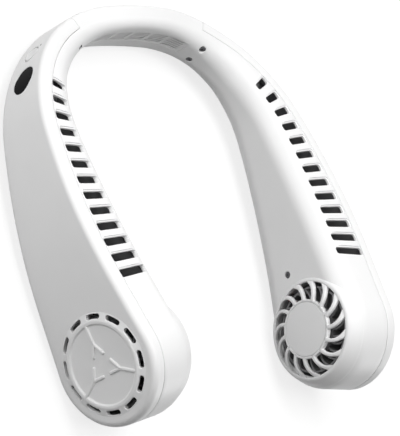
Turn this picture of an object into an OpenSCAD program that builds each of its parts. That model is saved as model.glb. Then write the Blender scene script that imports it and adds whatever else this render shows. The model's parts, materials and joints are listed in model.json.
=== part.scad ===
// Electric neck fan: a rigid horseshoe that lies on the shoulders, with a
// centrifugal fan in each round front pod and a row of outlets along each arm.
// Millimetres, Z up. It stands on the bottoms of both pods and on the bottom
// of the neck band, with the origin under the middle of its outline.
// Pieces are drawn flat first: s runs along the band from the middle of the
// neck, t points outward from its centreline, and z is its height. Then the
// whole fan is pitched so that its three feet share one plane.

/* [Band path] */
// Bend radius of the middle of the neck band
neck_r = 198; // [185:1:215]
// Half the angle that the neck bend covers
neck_angle = 5.2; // [5:0.1:5.6]
// Bend radius of the corners behind the shoulders
corner_r = 60.1; // [58:0.1:63]
// Angle that each corner bend covers
corner_angle = 78.6; // [77:0.2:80]
// Bend radius of the arms
side_r = 300; // [280:1:320]
// Angle that each arm bend covers
side_angle = 14; // [13:0.2:15]
// Straight run from the arm bend to the middle of the pod
pod_run = 24.1; // [23.6:0.1:26]

/* [Band section] */
// Height of the band at the back of the neck
back_h = 25.5; // [25:0.1:26.5]
// Height of the band at its lowest waist
waist_h = 20.8; // [20.4:0.1:21.6]
// Distance of the waist from the middle of the neck
waist_s = 55; // [50:1:58]
// Rise of the top edge per length at the waist
waist_rise = 0.068; // [0.06:0.002:0.075]
// Thickness of the band at the back of the neck
band_w = 11.2; // [11:0.1:12]
// Thickness of the arms at the pods
pod_w = 28.5; // [28.2:0.1:29]
// Distance over which the thickness grows
swell_run = 154.5; // [152:0.5:158]
// Radius of the pods seen from the side
pod_r = 26.6; // [26.4:0.1:27]
// Slope of the arm's edges where they meet the pod
flank_angle = 7.75; // [7.4:0.05:8]
// Lean of the section at the back of the neck
lean_back = 2.9; // [2.4:0.1:3.4]
// Lean of the arms and pods
lean_arm = 1.5; // [1:0.1:2]
// Distance over which the lean changes
lean_run = 64.7; // [62:0.1:68]
// Rounding of the outer long edges
outer_edge_r = 2.8; // [2.6:0.1:3]
// Rounding of the inner long edges
inner_edge_r = 10; // [9.6:0.1:10.4]
// Wall thickness of the shells
wall = 1.6; // [1.5:0.05:1.7]

/* [Outer covers] */
// Where a cover starts, along the band
cover_s = 40.5; // [39.5:0.5:42]
// Depth of the cover's seam below its outer face
seam_depth = 6.3; // [6:0.1:6.4]
// Gap in the seam
seam_gap = 0.15; // [0.1:0.05:0.2]
// Radius of the raised pod disc
disc_r = 18.4; // [18:0.1:18.5]
// Height of the raised pod disc
disc_h = 1.2; // [1:0.1:1.4]
// Width of the disc's rim
disc_rim = 1.9; // [1.6:0.1:2.2]
// Depth of the disc's floor below its rim
disc_sink = 0.5; // [0.4:0.1:0.6]
// Radius at which the intake slots are centred
ring_r = 20; // [19.9:0.05:20.1]
// Width of an intake slot across the ring
ring_slot_w = 2; // [1.8:0.1:2.1]
// Angle that an intake slot covers
ring_slot_angle = 21; // [18:1:23]
// Number of intake slots
ring_slots = 12; // [10:1:14]
// Width of the raised ribs on the disc
mark_w = 1.1; // [0.9:0.1:1.3]
// Radius at which a disc rib forks
fork_r = 9; // [8.5:0.1:9.5]
// Radius at which the forks of a disc rib end
fork_end_r = 4.8; // [4.5:0.1:5.2]
// Angle between a fork's end and its stem
fork_angle = 40; // [36:1:44]

/* [Outlets] */
// Number of outlet slots on each arm
outlets = 13; // [12:1:13]
// Distance of the last outlet from the middle of the neck
outlet_last_s = 168.1; // [167:0.1:169]
// Spacing of the outlets
outlet_pitch = 7.06; // [6.9:0.01:7.1]
// Extra spread of the outlets towards the neck
outlet_spread = 4.4; // [4:0.1:5]
// Width of an outlet along the arm
outlet_w = 3.5; // [3.2:0.1:3.8]
// Length of the first outlet across the arm
outlet_first = 6.9; // [6.6:0.1:7.2]
// Length of the last outlet across the arm
outlet_last = 15.8; // [15.4:0.1:16]
// Width of the recess round an outlet
lip_w = 0.7; // [0.5:0.1:0.8]
// Depth of the recess round an outlet
lip_depth = 0.5; // [0.4:0.1:0.7]

/* [Pod grilles] */
// Radius of the opening behind a grille
grille_r = 21.4; // [21.2:0.1:21.5]
// Height of the grille's rim above the pod's face
rim_h = 1.1; // [0.9:0.1:1.3]
// Radius at which the grille's rim meets the pod's rounding
rim_r = 24.2; // [24:0.1:24.4]
// Radius of the grille's hub
hub_r = 13.3; // [13.1:0.1:13.4]
// Height of the hub above the pod's face
hub_h = 3.2; // [3.1:0.1:3.4]
// Number of grille ribs
grille_ribs = 15; // [13:1:16]
// Width of a grille rib
rib_w = 1.7; // [1.5:0.1:1.9]
// Bend radius of a grille rib
rib_bend = 8.5; // [8.3:0.1:8.8]
// Thickness of the domed grille
dome_t = 1.6; // [1.5:0.1:1.8]
// Radius of the hub cap
cap_r = 12.15; // [12:0.05:12.2]
// Thickness of the hub cap
cap_t = 1; // [0.9:0.1:1.1]

/* [Neck panel] */
// Half the length of the louvre panel
panel_s = 36.2; // [35.5:0.1:36.6]
// Height of the louvre panel's middle
panel_z = 2; // [1.9:0.1:2.1]
// Half the height of the louvre panel
panel_half = 4.2; // [4.1:0.05:4.25]
// Depth of the panel's face below the band's
panel_sink = 0.15; // [0.1:0.05:0.2]
// Thickness of the louvre panel
panel_t = 1; // [0.9:0.05:1.05]
// Width of the ledge that carries the panel
ledge_w = 1.2; // [1:0.1:1.4]
// Number of louvre columns
louvre_cols = 6; // [5:1:7]
// Number of louvre rows
louvre_rows = 5; // [4:1:5]
// Height of a louvre slot
louvre_h = 0.8; // [0.7:0.05:0.9]
// Width of the bars between louvre columns
louvre_bar = 1.8; // [1.5:0.1:2.2]

/* [Screws] */
// Radius of the self-tapping screws' thread
screw_r = 0.9; // [0.8:0.05:1]
// Radius of the screw heads
screw_head_r = 1.45; // [1.4:0.05:1.5]
// Height of the screw heads
screw_head_h = 0.7; // [0.6:0.05:0.8]
// Radius of the screw wells
well_r = 1.7; // [1.65:0.05:1.75]
// Radius of the neck screws' bosses
neck_boss_r = 1.9; // [1.8:0.05:2]
// Radius of the pod screws' bosses
pod_boss_r = 2.9; // [2.8:0.05:3]
// Depth of the screw wells
well_depth = 1.1; // [1:0.05:1.2]
// Distance of the neck screws from the middle of the neck
neck_screw_s = 44.4; // [44.2:0.1:44.6]
// Height of the upper neck screws
neck_screw_top = 6.5; // [6.3:0.1:6.6]
// Height of the lower neck screws
neck_screw_bottom = -2.5; // [-2.8:0.1:-2.2]
// Depth at which the neck screws' bosses meet
neck_boss_stop = 6.3; // [6.2:0.1:6.4]
// Distance of the pod screws from the middle of the neck
pod_screw_s = 169.3; // [168.9:0.1:169.6]
// Height of the pod screws
pod_screw_z = -5.1; // [-5.4:0.1:-4.8]
// Length of the neck screws
neck_screw_l = 8; // [7.6:0.1:8.4]
// Length of the pod screws
pod_screw_l = 16; // [15:0.5:17]

/* [Controls] */
// Distance of the power button from the middle of the neck
button_s = 62; // [61.8:0.1:62.3]
// Height of the power button's centre
button_z = -0.3; // [-0.5:0.1:-0.1]
// Radius of the power button
button_r = 3.7; // [3.5:0.05:3.8]
// Thickness of the power button above its flange
button_t = 2.3; // [2.25:0.05:2.35]
// Width of the power button's flange
button_flange = 0.6; // [0.5:0.05:0.7]
// Thickness of the power button's flange
flange_t = 0.5; // [0.4:0.05:0.6]
// Radius of the power button's plunger
plunger_r = 1.2; // [1:0.1:1.3]
// Length of the power button's plunger
plunger_l = 0.25; // [0.2:0.05:0.3]
// Width of the switch under the button
switch_w = 5.2; // [5:0.1:5.4]
// Height of the switch's body
switch_h = 3; // [2.8:0.1:3.1]
// Height of the switch's stem
stem_h = 0.5; // [0.45:0.05:0.55]
// Radius of the switch's stem
stem_r = 1.3; // [1.2:0.05:1.4]
// Distance of the display window from the middle of the neck
window_s = 76; // [75.8:0.1:76.3]
// Height of the display window's centre
window_z = 0; // [-0.2:0.1:0.2]
// Length of the display window
window_l = 12.2; // [11.8:0.1:12.4]
// Width of the display window
window_w = 10.4; // [10:0.1:10.6]
// Tilt of the display window
window_tilt = 37; // [30:1:44]
// Thickness of the display window
window_t = 1.5; // [1.4:0.05:1.6]
// Depth of the window's face below the cover's
window_sink = 0.15; // [0.1:0.05:0.2]
// Distance of the status light from the middle of the neck
light_s = 58.9; // [58.7:0.1:59]
// Height of the status light
light_z = 4; // [3.9:0.1:4.1]
// Radius of the status light
light_r = 0.5; // [0.4:0.05:0.6]
// Length of the control board
board_l = 30; // [29:0.5:30.5]
// Height of the control board
board_h = 10.6; // [10:0.1:10.7]
// Height of the control board's middle
board_z = -0.9; // [-1:0.1:-0.8]
// Thickness of the circuit boards
board_t = 1; // [0.8:0.1:1.2]
// Depth of the control board below the cover's outer face
board_depth = 8.2; // [8:0.1:8.4]
// Distance of the control board's middle from the middle of the neck
board_s = 69; // [68.7:0.1:69.4]
// Radius of the posts that carry the control board
post_r = 1.8; // [1.6:0.1:2]
// Distance of the posts from the control board's middle
post_x = 12; // [11:0.5:12.5]
// Length of the display module
module_l = 9.6; // [9:0.1:10]
// Width of the display module
module_w = 7.2; // [7:0.1:7.4]
// Height of the display module
module_h = 6.2; // [6:0.1:6.3]
// Length of the status light's pipe
light_l = 6.1; // [6:0.05:6.2]

/* [Charging socket] */
// Distance of the charging socket from the middle of the neck
port_s = 66; // [65.5:0.1:66.5]
// Offset of the charging socket from the centreline
port_t = -2.2; // [-2.3:0.05:-2.1]
// Width of the socket's shell
port_w = 8.9; // [8.8:0.05:9]
// Thickness of the socket's shell
port_h = 3.2; // [3.1:0.05:3.3]
// Length of the socket's shell
port_l = 7; // [6.8:0.1:7.2]
// Depth of the socket's mouth above the band's lower edge
port_sink = 1.4; // [1.3:0.1:1.5]
// Thickness of the socket's sheet metal
port_sheet = 0.3; // [0.25:0.05:0.35]

/* [Batteries] */
// Length of a battery cell
cell_l = 48; // [46:0.5:49]
// Thickness of a battery cell
cell_w = 12; // [11.5:0.1:12.4]
// Height of a battery cell
cell_h = 11; // [10.5:0.1:11.2]
// Distance of a cell's centre from the middle of the neck
cell_s = 130; // [129:0.5:131]
// Offset of a cell from the centreline
cell_t = 1.2; // [1:0.1:1.3]
// Rounding of a cell's long edges
cell_r = 1.5; // [1:0.1:2]

/* [Air ducts] */
// Where a duct starts, along the band
duct_start = 74.5; // [74:0.5:75]
// Where a duct ends, along the band
duct_end = 171; // [170:0.5:172]
// Where a duct reaches its full depth
duct_deep_s = 110; // [109:0.5:112]
// Height of the duct's floor in the arm
duct_floor_z = 0; // [-0.2:0.1:0.4]
// Thickness of the duct's walls
duct_t = 1; // [0.9:0.1:1.1]
// Gap from the duct's floor to the shell's side walls
duct_fit = 0.6; // [0.55:0.05:0.65]
// Gap from the duct's outer side wall to the shell
duct_side = 1.3; // [1.25:0.05:1.35]
// Gap from the duct's side walls up to the shell's top edge
duct_drop = 3.5; // [3.4:0.1:3.6]
// Depth of the duct where it starts
duct_lip = 1.5; // [1.2:0.1:1.8]
// Inner radius of the scroll round the impeller
scroll_r = 21.2; // [21:0.1:21.4]
// Thickness of the scroll
scroll_t = 1; // [0.9:0.1:1.1]
// Gap from the scroll's ends to the shell's flat inside
scroll_end = 0.35; // [0.3:0.05:0.5]
// Gap from the scroll's inner end to the shell's flat inside
scroll_in = 2.8; // [2.7:0.1:3]
// Half the angle of the scroll's mouth
scroll_mouth = 52; // [48:1:56]

/* [Fans] */
// Radius of the impeller
fan_r = 19.5; // [19:0.1:19.7]
// Number of impeller blades
fan_blades = 26; // [22:1:28]
// Thickness of an impeller blade
blade_t = 0.8; // [0.7:0.05:0.9]
// Bend radius of an impeller blade
blade_bend = 8; // [7.6:0.1:8.4]
// Radius of the impeller's hub
fan_hub_r = 12.2; // [12:0.1:12.4]
// Thickness of the impeller's hub skirt
fan_skirt = 0.9; // [0.8:0.05:1]
// Radius of the rotor cup
cup_r = 11.2; // [11.1:0.05:11.25]
// Thickness of the rotor cup
cup_t = 0.6; // [0.5:0.05:0.7]
// Height of the rotor cup
cup_h = 9; // [8.8:0.1:9.2]
// Thickness of the magnet ring
magnet_t = 1.3; // [1.2:0.05:1.4]
// Height of the magnet ring
magnet_h = 6.6; // [6.4:0.1:6.8]
// Radius of the stator over its teeth
stator_r = 8.8; // [8.6:0.05:8.9]
// Height of the stator's iron stack
stator_h = 4.6; // [4.4:0.1:4.8]
// Number of stator teeth
stator_teeth = 9; // [6:3:12]
// Width of a stator tooth
tooth_w = 1.3; // [1.2:0.05:1.4]
// Radius of the fan's shaft
shaft_r = 1; // [0.95:0.01:1.05]
// Running clearance of the shaft in its bearings
shaft_gap = 0.04; // [0.02:0.01:0.06]
// Outer radius of the bearings
bearing_r = 2.2; // [2.1:0.05:2.3]
// Length of one bearing
bearing_l = 2.8; // [2.6:0.1:3]
// Thickness of the bearing tube
tube_t = 0.7; // [0.6:0.05:0.8]
// Radius of the motor board
motor_board_r = 9.8; // [9.5:0.1:10]
// Height of the impeller's plate above its cup
plate_t = 0.8; // [0.7:0.05:0.9]
// Gap between a motor's board and its rotor cup
cup_lift = 1; // [0.9:0.1:1.2]
// Gap from the blades' inner ends to the pod's face
blade_in = 1.95; // [1.9:0.05:2]
// Gap from the blades' outer ends to the pod's face
blade_out = 4.4; // [4:0.1:5]

/* [Leads] */
// Radius of a lead
lead_r = 0.6; // [0.5:0.05:0.65]

/* [Hidden] */
$fn = 64;
// Cuts run past their faces by this much
overrun = 0.4;
// Clearance between a piece and its seat
seat_gap = 0.05;
// Clearance round loose pieces
fit_gap = 0.25;
// Step used to measure the slope of the top edge
probe = 0.01;
// Clearance between pieces that are pressed together
press_gap = 0.01;
// Inset of the bridge lid below the tray's surface
lid_inset = 0.04;
// Share of the tray's depth that its edge's rounding may take
round_share = 0.85;
// Share of the socket's width that its tongue takes
tongue_share = 0.7;
// Width of the stator's yoke as a share of a tooth's width, and the part of a
// tooth's pitch that its shoe covers
yoke_share = 1.5;
shoe_share = 0.7;
// Width of a screw's cross recess as a share of its head's radius
recess_share = 0.25;
// Length and height of a chip as shares of the control board's
chip_l_share = 0.125;
chip_h_share = 0.33;
// Angles round the pod of the scroll's mouth and of the lead's way past it
mouth_at = 150;
lead_gate = 210;
// Turn of the grille's opening about its axis, which keeps its seam off a rib
seam_turn = 100;
// Thickness of the copper round a stator tooth
coil_over = 0.9;
// Stations along half the bridge and along an arm, and steps round a pod
bridge_steps = 6;
flank_steps = 20;
tip_steps = 8;
// Steps of the fine swept pieces, at most this long
sweep_step = 6.5;
WHITE = [0.95, 0.95, 0.95];
DARK = [0.2, 0.2, 0.21];
BLACK = [0.04, 0.04, 0.05];

// Lengths along the path
neck_l = neck_r * neck_angle * PI / 180;
corner_l = corner_r * corner_angle * PI / 180;
side_l = side_r * side_angle * PI / 180;
corner_end = neck_l + corner_l;
side_end = corner_end + side_l;
pod_s = side_end + pod_run;
tip_heading = neck_angle + corner_angle + side_angle;
flank_s = pod_s - pod_r * sin(flank_angle);
flank_h = pod_r * cos(flank_angle);
inner_face = -pod_w / 2;
outer_face = pod_w / 2;

function smooth(u) = let(v = min(1, max(0, u))) v * v * (3 - 2 * v);
function hermite(u, a, b, da, db) =
    (2 * u * u * u - 3 * u * u + 1) * a + (3 * u * u - 2 * u * u * u) * b
    + (u * u * u - 2 * u * u + u) * da + (u * u * u - u * u) * db;

// Heading and place of the centreline at s
function heading(s) = s < neck_l ? neck_angle * s / neck_l
    : s < corner_end ? neck_angle + corner_angle * (s - neck_l) / corner_l
    : s < side_end ? neck_angle + corner_angle + side_angle * (s - corner_end) / side_l
    : tip_heading;
function arc_step(r, from, to) = [r * (sin(to) - sin(from)), r * (cos(to) - cos(from))];
neck_xy = arc_step(neck_r, 0, neck_angle);
corner_xy = neck_xy + arc_step(corner_r, neck_angle, neck_angle + corner_angle);
side_xy = corner_xy + arc_step(side_r, neck_angle + corner_angle, tip_heading);
function place_xy(s) = s < neck_l ? arc_step(neck_r, 0, heading(s))
    : s < corner_end ? neck_xy + arc_step(corner_r, neck_angle, heading(s))
    : s < side_end ? corner_xy + arc_step(side_r, neck_angle + corner_angle, heading(s))
    : side_xy + (s - side_end) * [cos(tip_heading), -sin(tip_heading)];
function lean(s) = lean_back + (lean_arm - lean_back) * smooth(s / lean_run);
function width(s) = band_w + (pod_w - band_w) * smooth(s / swell_run);
function flare(s) = atan((width(s + probe) - width(s - probe)) / (4 * probe));
function half_h(s) = s < waist_s
    ? hermite(s / waist_s, back_h / 2, waist_h / 2, 0, waist_rise * waist_s)
    : hermite((s - waist_s) / (flank_s - waist_s), waist_h / 2, flank_h,
        waist_rise * (flank_s - waist_s), tan(flank_angle) * (flank_s - waist_s));
function rise(s) = s < probe ? 0 : atan((half_h(s + probe) - half_h(s - probe)) / (2 * probe));

// A point of the band: s along it, negative on the left, t outward, z up
function at(s, t, z) = let(a = abs(s), side = s < 0 ? -1 : 1, l = lean(a), h = heading(a),
    p = place_xy(a), out = t * cos(l) - z * sin(l))
    [side * (p[0] + out * sin(h)), p[1] + out * cos(h), t * sin(l) + z * cos(l)];

// A level of a shell: face -1 inner or 1 outer, inset from the outside, and
// the angle round its edge rounding, or the depth below the face
function edge_r(s, face) = face > 0 ? outer_edge_r : min(inner_edge_r, round_share * (width(s) - seam_depth));
function edge_round(s, lv) = edge_r(s, lv[0]) - lv[1];
// Depth of a face's surface, or of the wall's inside, below its flat at height z
function edge_drop(s, z, face, inset) = let(r = edge_r(s, face), i = r - inset,
    dz = min(i, max(0, abs(z) - half_h(s) + r))) r - sqrt(i * i - dz * dz);
function level_depth(s, lv) = len(lv) > 3 ? lv[3] : lv[1] + edge_round(s, lv) * (1 - cos(lv[2]));
function level_offset(s, lv) = let(r = edge_round(s, lv), d = min(r, level_depth(s, lv) - lv[1]))
    lv[1] + r - sqrt(max(0, r * r - (r - d) * (r - d)));
function level_t(s, lv) = lv[0] * (width(s) / 2 - level_depth(s, lv));
function edge_point(s, lv) = let(a = abs(s), side = s < 0 ? -1 : 1, o = level_offset(a, lv), b = rise(a))
    [side * (a + o * sin(b)), half_h(a) - o * cos(b)];
function tip_point(angle, lv) = let(r = pod_r - level_offset(pod_s, lv))
    [pod_s + r * cos(angle), r * sin(angle)];
function arm_edge(from, lv) = concat([edge_point(from, lv)],
    [for (k = [1 : flank_steps]) edge_point(cover_s + (flank_s - cover_s) * k / flank_steps, lv)],
    [for (j = [0 : tip_steps]) tip_point(90 * (1 - j / tip_steps), lv)]);
function bridge_edge(end, lv) =
    [for (k = [-bridge_steps : bridge_steps]) edge_point(end * k / bridge_steps, lv)];
function band_edge(lv) = let(arm = arm_edge(cover_s, lv), n = len(arm), bridge = bridge_edge(cover_s, lv))
    concat([for (i = [n - 1 : -1 : 1]) [-arm[i][0], arm[i][1]]], bridge, [for (i = [1 : n - 1]) arm[i]]);
// One closed ring of a shell from its upper edge, mirrored in z for the lower
function ring(edge, lv, tip_a, tip_b) = let(n = len(edge)) concat(
    [for (p = edge) at(p[0], level_t(abs(p[0]), lv), p[1])],
    [for (i = [n - 1 - tip_b : -1 : tip_a]) at(edge[i][0], level_t(abs(edge[i][0]), lv), -edge[i][1])]);

// Closed skin through equal rings, with strip caps over the first and last
module skin(rings, edge_n, tip_a, tip_b) {
    n = len(rings[0]);
    last = (len(rings) - 1) * n;
    function low(i) = (i == 0 && tip_a == 1) ? 0
        : (i == edge_n - 1 && tip_b == 1) ? edge_n - 1 : 2 * edge_n - 1 - tip_b - i;
    function strip(base) = [for (i = [0 : edge_n - 2])
        for (f = [[i, i + 1, low(i + 1)], [i, low(i + 1), low(i)]])
            if (f[0] != f[1] && f[1] != f[2] && f[0] != f[2]) [for (k = f) base + k]];
    sides = [for (j = [0 : len(rings) - 2]) for (i = [0 : n - 1])
        let(a = j * n + i, b = j * n + (i + 1) % n)
            for (f = [[a, b, b + n], [a, b + n, a + n]]) f];
    flipped = [for (f = strip(last)) [f[2], f[1], f[0]]];
    polyhedron(points = [for (r = rings) for (p = r) p],
        faces = concat(strip(0), [for (f = sides) [f[2], f[1], f[0]]], flipped), convexity = 8);
}

// Levels of the frame's tray, from its inner face round to the seam and back
frame_levels = [[-1, 0, 0], [-1, 0, 25], [-1, 0, 45], [-1, 0, 65], [-1, 0, 90], [1, 0, 0, seam_depth],
    [1, wall, 0, seam_depth], [-1, wall, 90], [-1, wall, 60], [-1, wall, 30], [-1, wall, 0]];
// Levels of a lid, from its outer face round to the seam and back. The bridge
// lid is set in by a hair, so that it sinks into the tray's rim
function lid_levels(seam, inset) = [[1, inset, 0], [1, inset, 45], [1, inset, 90], [1, inset, 0, seam],
    [1, wall + inset, 0, seam], [1, wall + inset, 90], [1, wall + inset, 0]];
bridge_levels = lid_levels(seam_depth + overrun, lid_inset);
cover_levels = lid_levels(seam_depth - seam_gap, 0);

module tray() {
    edges = [for (lv = frame_levels) band_edge(lv)];
    skin([for (i = [0 : len(edges) - 1]) ring(edges[i], frame_levels[i], 1, 1)], len(edges[0]), 1, 1);
}
module bridge_lid() {
    edges = [for (lv = bridge_levels) bridge_edge(cover_s - lv[1], lv)];
    skin([for (i = [len(edges) - 1 : -1 : 0]) ring(edges[i], bridge_levels[i], 0, 0)], len(edges[0]), 0, 0);
}
module cover_lid() {
    edges = [for (lv = cover_levels) arm_edge(cover_s + seam_gap + lv[1], lv)];
    skin([for (i = [len(edges) - 1 : -1 : 0]) ring(edges[i], cover_levels[i], 0, 1)], len(edges[0]), 0, 1);
}

// A profile swept along the band. profile(s) gives its corners as [t, z], and
// cap holds the triangles that close its ends
module swept(from, to, profile, cap) {
    n = ceil((to - from) / sweep_step);
    c = len(profile(from));
    points = [for (k = [0 : n]) let(s = from + (to - from) * k / n) for (q = profile(s)) at(s, q[0], q[1])];
    sides = [for (k = [0 : n - 1]) for (i = [0 : c - 1]) let(a = c * k + i, b = c * k + (i + 1) % c)
        for (f = [[a, b + c, b], [a, a + c, b + c]]) f];
    polyhedron(points = points, faces = concat(sides, cap,
        [for (f = cap) [f[2] + c * n, f[1] + c * n, f[0] + c * n]]), convexity = 6);
}
square_cap = [[0, 1, 2], [0, 2, 3]];
// A bar whose depths ta and tb are measured inward from the inner face
module inner_bar(from, to, ta, tb, half) {
    low = panel_z - half;
    high = panel_z + half;
    swept(from, to, function(s) let(w = width(abs(s)) / 2)
        [[ta - w, low], [tb - w, low], [tb - w, high], [ta - w, high]], square_cap);
}

// Frames: a station on the right arm, and the pod's own axis, whose Z runs
// outward along the fan's shaft and whose X runs along the arm
module at_station(s) {
    p = place_xy(s);
    translate([p[0], p[1], 0])
        rotate([0, 0, -heading(s)])
            rotate([lean(s), 0, 0])
                children();
}
module at_pod() {
    at_station(pod_s)
        rotate([-90, 0, 0])
            children();
}
// The outer face at s, with Z pointing out of it, square to its flare
module on_outer(s, z) {
    at_station(s)
        translate([0, width(s) / 2, z])
            rotate([-90, 0, flare(s)])
                children();
}
// The same place and the inner face, square to the centreline instead
module across_outer(s, z) {
    at_station(s)
        translate([0, width(s) / 2, z])
            rotate([-90, 0, 0])
                children();
}
module on_inner(s, z) {
    at_station(s)
        translate([0, edge_drop(s, z, -1, 0) - width(s) / 2, z])
            rotate([90, 0, 0])
                children();
}
module left() {
    mirror([1, 0, 0])
        children();
}
module both() {
    children();
    left()
        children();
}

// The fan's stance: lowest points of a pod and of the neck band share a plane
function drop(w, h, r, l) = (w / 2 - r) * sin(l) + (h - r) * cos(l) + r;
pod_drop = drop(pod_w, pod_r, edge_r(pod_s, -1), lean_arm);
back_drop = drop(band_w, back_h / 2, edge_r(0, -1), lean_back);
pod_xy = place_xy(pod_s);
pitch = -asin((pod_drop - back_drop) / -pod_xy[1]);
frame_rings = [for (i = [0 : 5]) ring(band_edge(frame_levels[i]), frame_levels[i], 1, 1)];
lid_rings = [for (i = [0 : 3]) let(lv = bridge_levels[i]) ring(bridge_edge(cover_s, lv), lv, 0, 0)];
cover_rings = [for (i = [0 : 3]) let(lv = cover_levels[i]) ring(arm_edge(cover_s, lv), lv, 0, 1)];
hull_points = [for (rings = [frame_rings, lid_rings, cover_rings]) for (r = rings) for (p = r)
    [p[0], p[1] * cos(pitch) - p[2] * sin(pitch), p[1] * sin(pitch) + p[2] * cos(pitch)]];
low_z = min([for (p = hull_points) p[2]]);
front_y = min([for (p = hull_points) p[1]]);
back_y = max([for (p = hull_points) p[1]]);
stance = [0, -(front_y + back_y) / 2, -low_z];
module placed() {
    translate(stance)
        rotate([pitch, 0, 0])
            children();
}

// Heights along a pod's axis: the motor's seat on the grille's hub and what
// stands on it
base_z = inner_face - hub_h + dome_t + cap_t / 2;
tube_r = bearing_r + tube_t;
tube_low = base_z - dome_t + cap_t / 2 + 2 * seat_gap;
cup_low = base_z + seat_gap + board_t + cup_lift;
cup_top = cup_low + cup_h;
tube_top = cup_top - 2 * cup_t - 2 * fit_gap;
stack_mid = cup_low + cup_h / 2;
yoke_r = tube_r + yoke_share * tooth_w;

// Offset of the control board's outer side, and the places of the neck screws
board_face = width(board_s) / 2 - board_depth;
neck_screw_places = [[neck_screw_s, neck_screw_top], [neck_screw_s, neck_screw_bottom]];

// Routes of the leads as [s, t, z] on the right, all inside the band. The
// pod_point form gives a radius and an angle about the fan and a depth
function pod_point(r, angle, depth) = [pod_s + r * cos(angle), depth, r * sin(angle)];
function mirrored(route) = [for (q = route) [-q[0], q[1], q[2]]];
cell_end = cell_s - cell_l / 2 - 3 * lead_r;
left_cell_route = [[84.1, 1.9, -4], [91, 2, -5], [cell_end - 5.2, 1.6, -6.8], [cell_end, 1.2, -7.4]];
right_cell_route = [[-53.8, 1.9, -5], [-50.6, 0.8, -5.9], [-46, -0.8, -6.8], [-41, -1, -7.1], [-34, -1, -7.5],
    [-17, -1, -8.2], [0, -1, -8.5], [17, -1, -8.2], [34, -1, -7.5], [41, -1, -7.1], [48, -0.8, -7.1],
    [62, 0, -7.2], [80, 0.6, -7.2], [cell_end - 8.2, 0.8, -7], [cell_end, 1.2, -7.4]];
left_motor_start = [[84.1, 1.9, -0.5], [93, -0.5, -3.5]];
right_motor_start = [[-53.8, 1.9, 2], [-50.6, 0.8, 2.1], [-46, -0.8, 2.1], [-41, -1, 2], [-34, -1, 1.8],
    [-17, -1, 1], [0, -1, 0.8], [17, -1, 1], [34, -1, 1.8], [41, -1, 2], [48, -0.9, 1.9], [64, -0.6, 0.4],
    [78, -1.4, -1.8], [92, -3.8, -5]];
motor_route = [[103, -7, -8], [112, -7.6, -8.6], [130, -8.2, -9.2], [150, -8, -10.5], [160, -8.2, -13],
    [168.3, -8.6, -13.6], [174, -8.6, -13.2], pod_point(24.4, 211.5, -8.9), pod_point(22.8, 210, -10),
    pod_point(21.3, 208, -11.45), pod_point(20.45, 207, -12.2), pod_point(19.4, 205.5, -13.15),
    pod_point(16, 197, -14.2), pod_point(12.6, 192, -14.65), pod_point(10.15, 191, -14.7)];

// Outlet places and sizes
function outlet_back(i) = outlets - 1 - i;
function outlet_s(i) = outlet_last_s - outlet_back(i) * outlet_pitch
    - outlet_spread * pow(outlet_back(i) / (outlets - 1), 3);
function outlet_l(i) = outlet_first + (outlet_last - outlet_first) * i / (outlets - 1);

// Rounded rectangle, long side along Y
module rounded_rect(w, l, r) {
    square([w - 2 * r, l], center = true);
    square([w, l - 2 * r], center = true);
    for (x = [-1, 1])
        for (y = [-1, 1])
            translate([x * (w / 2 - r), y * (l / 2 - r)])
                circle(r);
}
// A ring of bent blades between two radii, in plan
module bent_blades(count, from_r, to_r, bend, w) {
    intersection() {
        for (i = [0 : count - 1])
            rotate(360 * i / count)
                translate([from_r, -bend])
                    intersection() {
                        difference() {
                            circle(bend + w / 2);
                            circle(bend - w / 2);
                        }
                        translate([-w / 2, 0])
                            square([bend + w, bend + w]);
                    }
        difference() {
            circle(to_r);
            circle(from_r - w / 2);
        }
    }
}
// A tube of revolution between two radii, from z upward
module pipe(r_out, r_in, z, h) {
    translate([0, 0, z])
        difference() {
            cylinder(r = r_out, h = h);
            translate([0, 0, -overrun])
                cylinder(r = r_in, h = h + 2 * overrun);
        }
}
module disc(r, z, h) {
    translate([0, 0, z])
        cylinder(r = r, h = h);
}

// Main frame: inner shell with the closed neck bridge, outlets and grilles
module outlet_cuts() {
    for (i = [0 : outlets - 1])
        at_station(outlet_s(i))
            translate([0, 0, half_h(outlet_s(i))])
                rotate([0, -rise(outlet_s(i)), 0]) {
                    translate([0, 0, -2 * wall])
                        linear_extrude(2 * wall + overrun)
                            rounded_rect(outlet_w, outlet_l(i), lip_w);
                    translate([0, 0, -lip_depth])
                        linear_extrude(lip_depth + 2 * overrun)
                            rounded_rect(outlet_w + 2 * lip_w, outlet_l(i) + 2 * lip_w, 2 * lip_w);
                }
}
module grille() {
    bulge = hub_h - rim_h;
    dome_r = ((grille_r - hub_r) * (grille_r - hub_r) + bulge * bulge) / (2 * bulge);
    translate([0, 0, inner_face])
        mirror([0, 0, 1])
            difference() {
                union() {
                    intersection() {
                        translate([0, 0, -wall])
                            linear_extrude(wall + hub_h + overrun)
                                bent_blades(grille_ribs, hub_r - rib_w / 2, grille_r + wall / 2, rib_bend,
                                    rib_w);
                        rotate_extrude()
                            intersection() {
                                translate([hub_r, hub_h - dome_r])
                                    difference() {
                                        circle(dome_r);
                                        circle(dome_r - dome_t);
                                    }
                                translate([hub_r - rib_w, -wall])
                                    square([grille_r + wall - hub_r + rib_w, wall + hub_h]);
                            }
                    }
                    disc(hub_r, hub_h - dome_t - cap_t / 2, dome_t + cap_t / 2);
                }
                disc(cap_r + seat_gap, hub_h - cap_t - seat_gap, cap_t + seat_gap + overrun);
                disc(tube_r + seat_gap, -overrun, hub_h);
            }
}
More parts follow.
